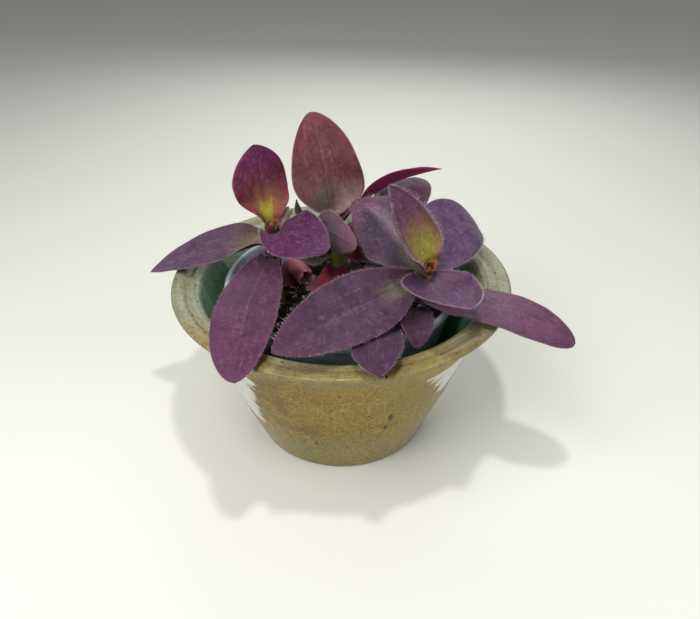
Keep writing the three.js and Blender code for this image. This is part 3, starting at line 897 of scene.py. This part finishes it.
# %% Measures of the leaves
# at: share of the shoot's length where the leaf sits.   heading: compass angle from +X.
# rise: angle above level, at the base and at the tip.   turn: change of heading up to the tip.
# widest: share of the length with the full width.       point: how slender the tip is.
# cup: the margin's angle above flat.  crease: the same at the midrib.  roll: turn about the midrib.
LEAF_MEASURES = ("shoot", "at", "heading", "rise", "turn", "length", "width",
                 "widest", "point", "cup", "crease", "roll")
LEAVES = {
    "left_upright": ("left", 1, 120, (75, 75), 25, 33, 30, 0.55, 0.75, -10, 0, 20),
    "left_spoon": ("left", 0.86, -55, (35, -15), 20, 37, 24, 0.4, 0.7, 15, 0, 40),
    "left_long": ("left", 0.72, 170, (-15, -25), 5, 61, 25, 0.3, 0.85, 20, 15, -5),
    "left_hanging": ("left", 0.57, -102, (5, -15), 15, 80, 26, 0.55, 0.55, 10, 0, 5),
    "middle_tall": ("middle", 1, 120, (85, 55), 10, 47, 34, 0.25, 0.65, 25, 5, -25),
    "middle_back": ("middle", 0.82, 30, (45, 0), -20, 58, 15, 0.25, 1, 25, 10, -50),
    "middle_front": ("middle", 0.64, -110, (50, 0), 60, 55, 18, 0.35, 0.5, 5, 0, -80),
    "middle_sliver": ("middle", 0.47, 170, (15, 95), 0, 35, 16, 0.4, 0.75, 25, 0, 0),
    "middle_crimson": ("middle", 0.3, -105, (0, 20), -10, 37, 12, 0.5, 0.75, -5, 0, -10),
    "right_folded": ("right", 1, 150, (55, 70), 35, 38, 25, 0.25, 0.75, 50, 0, -5),
    "right_spoon": ("right", 0.862, -75, (-10, 35), 5, 43, 33, 0.3, 0.75, 40, 0, 0),
    "right_broad": ("right", 0.74, 220, (0, 0), 5, 76, 28, 0.45, 0.75, 15, 5, 0),
    "right_channel": ("right", 0.613, 120, (60, -15), 10, 54, 34, 0.3, 0.9, 5, 0, -10),
    "right_round": ("right", 0.48, 60, (60, -45), -15, 62, 31, 0.5, 0.7, 10, 0, 25),
    "right_long": ("right", 0.345, -33, (30, -30), 15, 73, 24, 0.65, 0.5, -5, 0, -5),
    "front_small": ("right", 0.14, -92, (68, -37), 10, 44, 19, 0.6, 0.7, 35, 0, -15),
    "back_dark": ("back", 1, 60, (55, -15), 10, 38, 29, 0.45, 0.8, -10, 0, -5),
    "back_red": ("back", 0.7, -125, (50, -10), -35, 29, 18, 0.65, 0.5, -5, 0, -80),
    "back_blue": ("back", 0.35, -130, (5, 60), 10, 31, 11, 0.45, 0.8, 10, 0, 0),
    "front_low": ("front", 1, -113, (35, -10), 30, 48, 19, 0.65, 0.9, 5, 0, 15),
}
NECKS = {  # half the width of the broad bases, in mm
    "left_upright": 4.5, "left_spoon": 6.5, "middle_tall": 8, "middle_front": 6, "right_folded": 7,
}

COLLAR_GAP = 0.6  # from the stem to the collar's inner face, in mm
LEAF_THICKNESS = 0.9
SHEATH = 2.5  # height of the collar
MOUTH = 1.5  # the collar opens into the blade over this length
BEND = 5.0  # the blade has left the stem's direction by here
WRAP = 160.0  # degrees that the collar reaches round each way
CLASP = 70.0  # the same at its mouth
OPENING = 0.3  # share of the length in which the blade unrolls
ROLLED_BY = 0.5  # share of the length in which it has turned


# %% The midrib and the outline of a leaf
class Leaf:
    """A blade's middle surface. Lengths are in mm and distances run along the midrib."""

    def __init__(self, name, values):
        self.name = name
        for key, value in zip(LEAF_MEASURES, values):
            setattr(self, key, value)
        base, self.stem_direction, radius = shoots[self.shoot].at(self.at)
        self.collar = radius + COLLAR_GAP + LEAF_THICKNESS / 2
        heading = math.radians(self.heading)
        outward = Vector((math.cos(heading), math.sin(heading), 0))
        self.outward, self.side = square_to(self.stem_direction, outward)
        self.start = base + self.outward * self.collar - self.stem_direction * SHEATH

    def direction(self, distance):
        share = max(distance, 0) / self.length
        rise = math.radians(mix(*self.rise, share))
        heading = math.radians(self.heading + self.turn * share)
        level = math.cos(rise)
        free = Vector((math.cos(heading) * level, math.sin(heading) * level, math.sin(rise)))
        return self.stem_direction.lerp(free, smoothstep(distance / BEND)).normalized()

    def half_width(self, distance, least=0.12):
        share = min(max(distance / self.length, 0), 1)
        neck = NECKS.get(self.name, min(1.5 * self.collar, 0.42 * self.width))
        if share < self.widest:
            grown = (distance - MOUTH) / (self.widest * self.length - MOUTH)
            half = mix(neck, self.width / 2, math.sin(math.pi / 2 * min(max(grown, 0), 1)))
        else:
            past = (share - self.widest) / (1 - self.widest)
            half = self.width / 2 * max(1 - past * past, 0) ** self.point
        wrapped = self.collar * math.radians(WRAP)
        return max(mix(wrapped, half, smoothstep(distance / MOUTH)), least)

    def done_by(self, distance, share):
        """Goes from 0 at the mouth of the collar to 1 at a share of the length."""
        return smoothstep((distance - MOUTH) / (share * self.length))

    def margin_angle(self, distance):
        clasp = mix(math.radians(WRAP), math.radians(CLASP), smoothstep(distance / MOUTH))
        return mix(clasp, math.radians(self.cup), self.done_by(distance, OPENING))

    def rows(self, distances, substeps=4):
        """The midrib's place, the row's two directions, and how the row bends, at each distance."""
        centre = self.start.copy()
        side = self.side
        before = -SHEATH
        made = []
        for distance in distances:
            stride = (distance - before) / substeps
            for step in range(substeps):
                centre = centre + self.direction(before + (step + 0.5) * stride) * stride
            before = distance
            along = self.direction(distance)
            side = (side - side.project(along)).normalized()
            over = along.cross(side)
            turned = math.radians(self.roll) * self.done_by(distance, ROLLED_BY)
            across = side * math.cos(turned) + over * math.sin(turned)
            up = over * math.cos(turned) - side * math.sin(turned)
            crease = math.radians(self.crease) * self.done_by(distance, OPENING)
            half = self.half_width(distance)
            bend = (self.margin_angle(distance) - crease) / half
            made.append((distance, centre, across, up, along, crease, half, bend))
        return made


def on_blade(row, u, lift=0.0):
    """Place and normal at u, from -1 at one margin to 1 at the other, lifted off the middle surface."""
    distance, centre, across, up, along, crease, half, bend = row
    arc = abs(u) * half
    angle = crease + bend * arc
    if abs(bend) < 1e-5:
        sideways, upwards = arc * math.cos(crease), arc * math.sin(crease)
    else:
        sideways = (math.sin(angle) - math.sin(crease)) / bend
        upwards = (math.cos(crease) - math.cos(angle)) / bend
    lean = math.copysign(angle, u) if u else 0.0
    normal = up * math.cos(lean) - across * math.sin(lean)
    place = centre + across * math.copysign(sideways, u) + up * upwards
    return place + normal * lift, normal


# %% [markdown]
# ### Relief of a leaf
#
# The surface is lifted by small amounts along its own normal. Near the collar the relief fades out,
# because the collar has only a narrow gap to the stem.

# %% Build a leaf
STRIPS = 40
BLADE_ROWS = 84
COLLAR_ROWS = 10  # of them, the rows that lie in the collar
MARGIN_THICKNESS = 0.26
GROOVE = 0.22  # depth of the midrib's groove
RIBS = 4.5  # lengthwise ribs on each side of the midrib
RIB_HEIGHT = 0.03
MARGIN_WAVE = 0.2
DENTS = ((0.35, 1.3), (0.12, 4))  # depth and scale of the soft unevenness


def row_distances(length):
    collar = [mix(-SHEATH, MOUTH, k / COLLAR_ROWS) for k in range(COLLAR_ROWS)]
    count = BLADE_ROWS - COLLAR_ROWS
    blade = [mix(MOUTH, length, k / count * (1.35 - 0.35 * k / count)) for k in range(count + 1)]
    return collar + blade


def relief(leaf, share, u, side, seed):
    """How far a face lies from the blade's middle surface, in mm. side is 1 above and -1 below."""
    edge = abs(u)
    opened = smoothstep((share - 0.08) / 0.2)
    taper = smoothstep((1 - share) / 0.15)
    thickness = mix(LEAF_THICKNESS, MARGIN_THICKNESS, edge ** 2.5) * mix(0.35, 1, taper)
    ribs = RIB_HEIGHT * math.cos(math.tau * RIBS * edge) * (1 - edge) * taper
    groove = GROOVE * math.exp(-(u / 0.07) ** 2) * taper * (1 if side > 0 else 1.4)
    phase = share * leaf.length * 0.42 + 3.1 * math.copysign(1, u) + seed
    wave = MARGIN_WAVE * edge ** 3 * math.sin(phase)
    where = Vector((u * leaf.width * 0.05, share * leaf.length * 0.05, seed))
    dents = sum(depth * noise.noise(where * scale) for depth, scale in DENTS)
    shared = (wave * (1 - 0.5 * share) + dents) * opened * taper - groove * opened
    return side * thickness / 2 + ribs * side * opened + shared


def two_faced_grid(columns, rows, along_name):
    """A flat grid with a face above and one below. Three layers keep where each point belongs."""
    bm = bmesh.new()
    across, along, below = (bm.verts.layers.float.new(name) for name in ("across", along_name, "below"))
    bmesh.ops.create_grid(bm, x_segments=columns, y_segments=rows, size=1)
    for vert in bm.verts:
        vert[across], vert[along], vert[below] = vert.co.x, (vert.co.y + 1) / 2, 1
    for item in bmesh.ops.extrude_face_region(bm, geom=bm.faces[:], use_keep_orig=True)["geom"]:
        if isinstance(item, bmesh.types.BMVert):
            item[below] = 0
    layers = bm.verts.layers.float
    return bm, layers["across"], layers[along_name], layers["below"]


def leaf_mesh(leaf, seed):
    bm, across, along, below = two_faced_grid(STRIPS, BLADE_ROWS, "along")
    rows = leaf.rows(row_distances(leaf.length))
    for vert in bm.verts:
        row = rows[round(vert[along] * (len(rows) - 1))]
        share = max(row[0], 0) / leaf.length
        side = -1 if vert[below] else 1
        vert.co = on_blade(row, vert[across], relief(leaf, share, vert[across], side, seed))[0] * MM
        vert[along] = row[0] / leaf.length
    bmesh.ops.recalc_face_normals(bm, faces=bm.faces)
    return bm


# %% [markdown]
# ### The skin of a leaf
#
# Purple comes from a pigment that fills the skin but leaves the young base green or olive. It is
# not even: fine streaks run along the veins and blotches cross them. A dusting of tiny hairs greys
# the purple, most of all on older leaves. The recipe therefore works in the leaf's own directions,
# across and along, and the underside gets a redder purple.

# %% Leaf skin
SKINS = {  # tip, body and base colours, the base colour's reach, kind
    "left_upright": ("#5a1945", "#5d1b34", "#713531", 0.55, "mauve"),
    "left_spoon": ("#4d1e47", "#4b1e46", "#4d2b34", 0.16, "violet"),
    "left_long": ("#564156", "#50394f", "#5e4c4c", 0.3, "plum"),
    "left_hanging": ("#542a48", "#522e48", "#4f3242", 0.14, "plum"),
    "middle_tall": ("#642a39", "#5f3139", "#634747", 0.36, "mauve"),
    "middle_back": ("#a01c58", "#941a50", "#802048", 0.1, "crimson"),
    "middle_front": ("#8c6c79", "#7f6c7b", "#7a6c71", 0.1, "plum"),
    "middle_sliver": ("#50242a", "#4a2224", "#3c3020", 0.3, "crimson"),
    "middle_crimson": ("#86082c", "#760626", "#56041a", 0.2, "crimson"),
    "right_folded": ("#57324c", "#5e3449", "#6f4838", 0.45, "mauve"),
    "right_spoon": ("#4f2b4c", "#4f2d4e", "#5e4656", 0.22, "violet"),
    "right_broad": ("#4a2a43", "#4b3047", "#534b42", 0.2, "violet"),
    "right_channel": ("#5a344d", "#4d2d44", "#4e473c", 0.34, "violet"),
    "right_round": ("#5a3f62", "#573d5c", "#493a4a", 0.15, "violet"),
    "right_long": ("#5b344f", "#67435c", "#573e4d", 0.12, "plum"),
    "back_dark": ("#452638", "#422436", "#35202e", 0.15, "violet"),
    "back_red": ("#6a2030", "#581a28", "#402020", 0.2, "crimson"),
    "back_blue": ("#62506a", "#5e4c66", "#4a4050", 0.2, "violet"),
    "front_low": ("#3e1c3c", "#3c1c39", "#331e32", 0.16, "violet"),
    "front_small": ("#54374c", "#54384c", "#4a423f", 0.16, "plum"),
}
# Patches of another colour on a leaf. Some are painted light: those of right_channel are painted shade
# and a painted highlight.
TINTS_AND_PAINTED_LIGHT = {  # patches of another colour on a leaf
    # colour, place across from -1 to 1, half its width, start and end along the leaf, strength
    "left_upright": [("#8a5a34", 0.0, 0.8, -0.1, 0.5, 0.6), ("#b0a634", 0.1, 0.55, -0.1, 0.3, 0.95)],
    "right_folded": [("#8c6a3c", -0.2, 1.1, -0.1, 0.56, 0.5),
                     ("#867f26", -0.25, 0.75, -0.1, 0.42, 0.95)],
    "middle_tall": [("#98807e", -0.55, 0.5, -0.1, 0.36, 0.5), ("#57544c", 0.25, 0.45, -0.1, 0.34, 0.7)],
    # right_channel: the dark violet band and the dark olive patch are painted shade on the two halves
    # of its fold, and the pale grey streak is a painted highlight
    "right_channel": [("#2f2038", 0.4, 0.4, 0.15, 0.85, 0.75), ("#8a8088", -0.1, 0.3, 0.35, 0.85, 0.35),
                      ("#3f3c30", -0.4, 0.5, 0.0, 0.6, 0.7)],
    "right_broad": [("#7c7a66", 0.0, 0.6, -0.1, 0.3, 0.6)],
    "left_long": [("#84745c", 0.0, 0.7, -0.1, 0.3, 0.6)],
}


def with_tints_and_painted_light(skin, colour, overlays, across, along, wander):
    # the patches are leaf colours, and on right_channel painted shade and a painted highlight
    for overlay, centre, half_width, start, stop, strength in overlays:
        aside = skin.swayed(skin.math("ABSOLUTE", skin.minus(across, centre)), wander, 0.8, 0.45)
        ahead = skin.swayed(along, wander, 0.5, 0.45)
        within = skin.between(aside, half_width * 0.35, half_width, 1, 0)
        within = skin.times(within, skin.between(ahead, start - 0.06, start + 0.06))
        within = skin.times(within, skin.between(ahead, stop - 0.2, stop + 0.06, 1, 0))
        colour = skin.covered(colour, [(overlay, within, strength)])
    return colour


def leaf_skin(name, tip, body, base, reach, slot):
    skin = Finish("skin_" + name)
    place = skin.place()
    across, along, below = (skin.attribute(layer) for layer in ("across", "along", "below"))
    edge = skin.math("ABSOLUTE", across)
    veins = skin.noise(skin.vector(across, skin.times(along, 0.12), 0.0), 34, 4, 0.75)
    streaks = skin.noise(skin.vector(across, skin.times(along, 0.3), 0.5), 9, 5, 0.7)
    blotches = skin.noise(place, 130, 4, 0.65, 0.4)
    mottle = skin.noise(place, 520, 3, 0.7)
    grain = skin.noise(place, 1900, 2, 0.6)

    wander = skin.plus(skin.times(streaks, 0.6), skin.times(blotches, 0.3))
    height = skin.plus(skin.swayed(along, wander, 1.0, 0.45), skin.times(edge, 0.14))
    layers = [(body, height, reach * 0.3, reach * 1.25 + 0.08), (tip, height, 0.55, 1.05)]
    colour = skin.layered(base, layers)
    colour = with_tints_and_painted_light(skin, colour, TINTS_AND_PAINTED_LIGHT.get(name, []), across, along, wander)

    # light and dark, then what lies on top: the last are pale dots, the roots of the finest hairs
    tone = 1.0
    stripes = 0.26 if slot == "mauve" else 0.14
    for pattern, amount in ((blotches, 0.24), (mottle, 0.12), (veins, stripes), (grain, 0.07)):
        tone = skin.plus(tone, skin.between(pattern, 0.3, 0.7, -amount, amount))
    bloom = skin.times(skin.between(streaks, 0.45, 0.7), skin.between(mottle, 0.45, 0.65))
    midrib = skin.times(skin.between(edge, 0.0, 0.04, 1, 0), skin.between(along, 0.55, 0.95, 1, 0))
    colour = skin.covered(skin.toned(colour, tone), (
        ("#9a8090", bloom, 0.3),
        ("#8a7280", midrib, 0.2),
        ("#96667a", skin.between(edge, 0.96, 0.99), 0.28),
        ("#54203f", below, 0.55),
        ("#c8b4c2", skin.spots(place, 760, (0.1, 0.24), (0.9, 0.97)), 0.22),
    ))

    relief_height = skin.plus(skin.times(veins, 0.6), skin.times(mottle, 0.6))
    skin.shade(base_color=colour, roughness=skin.between(blotches, 0.3, 0.7, 0.46, 0.62),
               normal=skin.bump(relief_height, 0.2 * MM, 0.8), specular_ior_level=0.3,
               sheen_weight=0.06, sheen_roughness=0.4, subsurface_weight=0.06, subsurface_scale=0.002)
    return skin.material


leaves = {name: Leaf(name, values) for name, values in LEAVES.items()}
for seed, (name, leaf) in enumerate(leaves.items()):
    bm = leaf_mesh(leaf, seed * 1.7)
    tip, body, base, reach, slot = SKINS[name]
    skin = leaf_skin(name, tip, body, base, reach, slot)
    make_piece("blade_" + name, bm, skin, ["leaf_" + name])
print("leaves:", len(leaves))

# %% [markdown]
# ## Stems
#
# The stems come after the leaves, because a stem swells where a leaf is attached. Low down they
# are olive green, higher up the purple takes over, and the growing tip is a small brown bud. The
# middle shoot stays green.

# %% Stems
STEM_SIDES = 24
STEM_RINGS = 60
SOCKET_DEPTH = 12.0  # how far a stem stands in the mix, in mm
ROUND_TIP = 1.6  # length of the growing tip past the end of the curve
SWELLING = 0.35  # of a node
SWELLING_REACH = 1.2  # how far it spreads along the stem


def stem_skin(name, low, high, bud):
    skin = Finish(name)
    place = skin.place()
    share = skin.attribute("share")
    blotches = skin.noise(place, 300, 4, 0.6)
    fibres = skin.noise(skin.turned(place, 0.0, (1, 1, 0.12)), 1500, 3, 0.6)
    colour = skin.layered(low, (
        (high, skin.swayed(share, blotches, 0.5), 0.25, 0.8),
        (bud, share, 0.95, 1.01),
        ("#8a6a5a", blotches, 0.5, 0.7, 0, 0.4),
        ("#3a2024", fibres, 0.5, 0.7, 0, 0.5),
    ))
    skin.shade(base_color=colour, roughness=0.45, normal=skin.bump(fibres, 0.15 * MM),
               subsurface_weight=0.1, subsurface_scale=0.003)
    return skin.material


def onto_curve(bm, shoot, swellings=(), tip_length=0.0, torn=0.0):
    """Moves an upright unit cylinder onto a shoot, from the foot of its socket to its tip."""
    along = bm.verts.layers.float.new("share")
    low, high = -SOCKET_DEPTH / shoot.length, 1 + tip_length / shoot.length
    for vert in bm.verts:
        tear = torn * noise.noise(vert.co * 2.6) * smoothstep((vert.co.z - 0.3) / 0.2)
        share = mix(low, high, vert.co.z + 0.5) + tear
        place, direction, radius = shoot.at(share)
        past = max(share - 1, 0) * shoot.length / tip_length if tip_length else 0
        radius *= math.sqrt(max(1 - past ** 2, 0.0))
        for at in swellings:
            away = (share - at) * shoot.length / SWELLING_REACH
            radius += SWELLING * math.exp(-away ** 2)
        side, over = square_to(direction, Vector((1, 0, 0)))
        vert[along] = share
        vert.co = (place + (side * vert.co.x + over * vert.co.y) * radius) * MM
    bmesh.ops.recalc_face_normals(bm, faces=bm.faces)


stem_material = stem_skin("stem_skin", "#6f7428", "#6e4a50", "#6a3a18")
green_stem = stem_skin("green_stem_skin", "#7c8a2c", "#6c7630", "#6a3a18")
for name, shoot in shoots.items():
    bm, top = cylinder(STEM_SIDES, STEM_RINGS)
    bmesh.ops.poke(bm, faces=[f for f in bm.faces if len(f.verts) > 4])
    nodes = [leaf.at for leaf in leaves.values() if leaf.shoot == name and leaf.at < 1]
    onto_curve(bm, shoot, nodes, ROUND_TIP)
    skin = green_stem if name == "middle" else stem_material
    make_piece("shoot_" + name, bm, skin, ["stem_" + name])

# %% [markdown]
# ### The cut stem
#
# An old stem was broken off close to the mix. It is pink and fleshy, and its end is hollow and
# torn. The top face of the cylinder is inset and pushed down for the hollow, and the rim gets an
# uneven height.

# %% Cut stem
CUT_END = ((0.01, 0.22), (0.1, 0.14), (0.02, 0.3))  # how deep and how far in, step by step
TORN = 0.11  # unevenness of the end, as a share of the length
cut = Shoot(*CUT_STEM)
bm, top = cylinder(STEM_SIDES, STEM_RINGS)
for depth, thickness in CUT_END:
    bmesh.ops.inset_region(bm, faces=[top], thickness=thickness, use_even_offset=True)
    bmesh.ops.translate(bm, verts=top.verts, vec=(0, 0, -depth))
bmesh.ops.poke(bm, faces=[f for f in bm.faces if len(f.verts) > 4])
onto_curve(bm, cut, torn=TORN)
cut_skin = stem_skin("cut_stem_skin", "#8c3c50", "#a05466", "#b48880")
make_piece("cut_shoot", bm, cut_skin, ["cut_stem"])

# %% [markdown]
# ## The down on the leaves
#
# Fine pale hairs stand on the margins and, more thinly, all over the blades. They catch the light
# as a soft fringe. A hair is a cone with three sides, copied many thousands of times. It sits on
# the blade at a random place and leans out past the margin or towards the tip.

# %% Hairs
HAIR_RADIUS = 0.032  # at the root, in mm
HAIRS_PER_MM = 3.2  # along each margin
HAIRS_PER_SQUARE_MM = 0.17  # on the upper face
DOWNY = {"left_spoon": 1.8, "right_folded": 1.8, "right_spoon": 1.6, "right_round": 1.4}
LONG_HAIRED = {"right_folded": 1.9, "right_round": 1.7, "right_channel": 1.7, "right_broad": 1.15}
HAIR_ROWS = 60  # rows of a leaf that a hair can stand in


def hair_list(leaf, rng, amount, reach):
    """Root, direction and length of each hair of a leaf, in mm."""
    rows = leaf.rows([mix(MOUTH, leaf.length, k / HAIR_ROWS) for k in range(HAIR_ROWS + 1)])
    hairs = []
    for _ in range(int(2 * leaf.length * HAIRS_PER_MM * amount)):
        row = rows[rng.randrange(3, HAIR_ROWS)]
        u = rng.choice((-1, 1))
        root, normal = on_blade(row, u * 0.985)
        outer = (on_blade(row, u)[0] - on_blade(row, u * 0.9)[0]).normalized()
        lean = outer + normal * rng.uniform(-0.5, 0.9) + row[4] * rng.uniform(-0.2, 0.8)
        hairs.append((root, lean.normalized(), rng.uniform(0.5, 1.7) * reach))
    area = leaf.length * leaf.width * 0.7
    for _ in range(int(area * HAIRS_PER_SQUARE_MM * amount)):
        row = rows[rng.randrange(2, HAIR_ROWS)]
        u = rng.uniform(-0.95, 0.95)
        root, normal = on_blade(row, u, LEAF_THICKNESS * mix(0.45, 0.2, abs(u)))
        lean = normal + row[4] * rng.uniform(0.0, 0.9) + row[2] * rng.uniform(-0.4, 0.4)
        hairs.append((root, lean.normalized(), rng.uniform(0.3, 0.9) * reach))
    return hairs


down = Finish("down")
down.shade(base_color="#d8cbd2", roughness=0.5, alpha=0.8)
rng = random.Random(21)
for shoot_name in shoots:
    hairs = []
    for leaf in leaves.values():
        if leaf.shoot == shoot_name:
            hairs += hair_list(leaf, rng, DOWNY.get(leaf.name, 1.0), LONG_HAIRED.get(leaf.name, 1.0))
    bm = bmesh.new()
    bmesh.ops.create_cone(bm, cap_ends=False, segments=3, radius1=1, radius2=0, depth=1)
    bmesh.ops.remove_doubles(bm, verts=bm.verts, dist=1e-4)
    number = multiplied(bm, len(hairs))
    for vert in bm.verts:
        root, lean, length = hairs[vert[number]]
        side, over = square_to(lean, lean.orthogonal())
        width = HAIR_RADIUS * (side * vert.co.x + over * vert.co.y)
        vert.co = (root + width + lean * (vert.co.z + 0.5) * length) * MM
    make_piece("down_" + shoot_name, bm, down.material)

# %% [markdown]
# ## Small dry and young parts
#
# At the tip of the right shoot a brown bract stands round the bud like a torn cup. Behind the left
# shoot hangs a dry sheath, and a green sheath wraps the middle shoot. Each is a strip: a grid bent
# along a short curve and round it. Two young leaves come up low down, made as the others are, and
# a short aerial root leaves the right shoot.

# %% Bract and dry sheath
STRIP_GRID = 24
BRACT_HEIGHT = 3.6  # past the tip of the shoot, in mm


def dry_skin(name, light, dark):
    skin = Finish(name)
    drawn_out = skin.vector(skin.attribute("across"), skin.times(skin.attribute("share"), 0.15))
    return two_toned(skin, skin.noise(drawn_out, 14, 4, 0.7), dark, light, 0.7, 0.2)


def cupped_strip(curve, wrap, width, thickness, torn=0.0, seed=0.0):
    """A grid bent along a curve, and round it by wrap degrees each way."""
    bm, across, along, below = two_faced_grid(STRIP_GRID, STRIP_GRID, "share")
    for vert in bm.verts:
        u, share = vert[across], vert[along]
        reach = share * (1 + torn * noise.noise(Vector((u * 3, seed, 0))))
        place, direction, radius = curve.at(reach)
        radius *= width(share) + (0 if vert[below] else thickness / radius)
        outward, side = square_to(direction, Vector((0, -1, 0)))
        angle = math.radians(wrap) * u
        vert.co = (place + (outward * math.cos(angle) + side * math.sin(angle)) * radius) * MM
    bmesh.ops.recalc_face_normals(bm, faces=bm.faces)
    return bm


tip, tip_direction, _ = shoots["right"].at(1.0)
tip_end = tip + tip_direction * BRACT_HEIGHT
bract = Shoot(tip - tip_direction, (tip + tip_end) / 2, tip_end, 1.75, 2.1)
bm = cupped_strip(bract, 175, lambda share: 1.0, 0.25, torn=0.5)
make_piece("bract", bm, dry_skin("bract_skin", "#c07a34", "#5a2c10"))

sheath_foot, sheath_end = Vector((-28.3, 3.0, 100.5)), Vector((-24.2, 8.5, 108.0))
sheath_middle = (sheath_foot + sheath_end) / 2 + Vector((0.8, 0.6, 0))
dry_sheath = Shoot(sheath_foot, sheath_middle, sheath_end, 2.4, 2.8)
bm = cupped_strip(dry_sheath, 70, lambda share: 1.0, 0.2, torn=0.4, seed=3.0)
make_piece("dry_sheath", bm, dry_skin("sheath_skin", "#b8a08e", "#7a6450"))


# %% Young leaves low on the middle shoot
YOUNG_LEAVES = {
    "young_left": ("middle", 0.38, 176, (5, 0), -12, 21, 10, 0.45, 0.7, 10, 0, -50),
    "young_right": ("middle", 0.1, -20, (55, 20), 0, 13, 7, 0.45, 0.7, 35, 0, 0),
}
YOUNG_SKINS = {  # tip, body and base colours
    "young_left": ("#4a4a3c", "#4e5044", "#5a6428"),
    "young_right": ("#5c6a28", "#66762c", "#7a8a34"),
}
for seed, (name, values) in enumerate(YOUNG_LEAVES.items(), 40):
    young_skin = leaf_skin(name, *YOUNG_SKINS[name], 0.3, "young")
    make_piece(name, leaf_mesh(Leaf(name, values), seed), young_skin)

# %% Aerial root on the right shoot
AERIAL_ROOT = ((0, 0, 0), (3.6, -1.8, 0.6), (6.0, -2.8, 0.2), (7.6, -3.2, -1.2))
root_start = shoots["right"].at(0.5)[0]
root_bends = [root_start + Vector(bend) for bend in AERIAL_ROOT]
strands("aerial_root", [root_bends], [0.75], root_material, sides=8)

# %% Green sheath round the middle shoot
SHEATH_SHARES = (0.1, 0.33, 0.56)
SHEATH_RADII = (5.2, 4.9)  # outside the collars, in mm
foot, halfway, end = (shoots["middle"].at(share)[0] for share in SHEATH_SHARES)
around_middle = Shoot(foot, 2 * halfway - (foot + end) / 2, end, *SHEATH_RADII)
bm = cupped_strip(around_middle, 80, lambda share: 1.0 - 0.1 * share, 0.3, torn=0.15, seed=8.0)
green_sheath_skin = stem_skin("green_sheath_skin", "#4c5a14", "#5e6c1c", "#3c4414")
make_piece("green_sheath", bm, green_sheath_skin)

# %% The sizes of the frame and of the finished model
visual_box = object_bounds()
sizes = {
    "cad": [[float(value) for value in corner] for corner in cad_box],
    "visual": [[float(value) for value in corner] for corner in visual_box],
}
print("visual model, mm:", [round((b - a) / MM, 1) for a, b in zip(*sizes["visual"])])
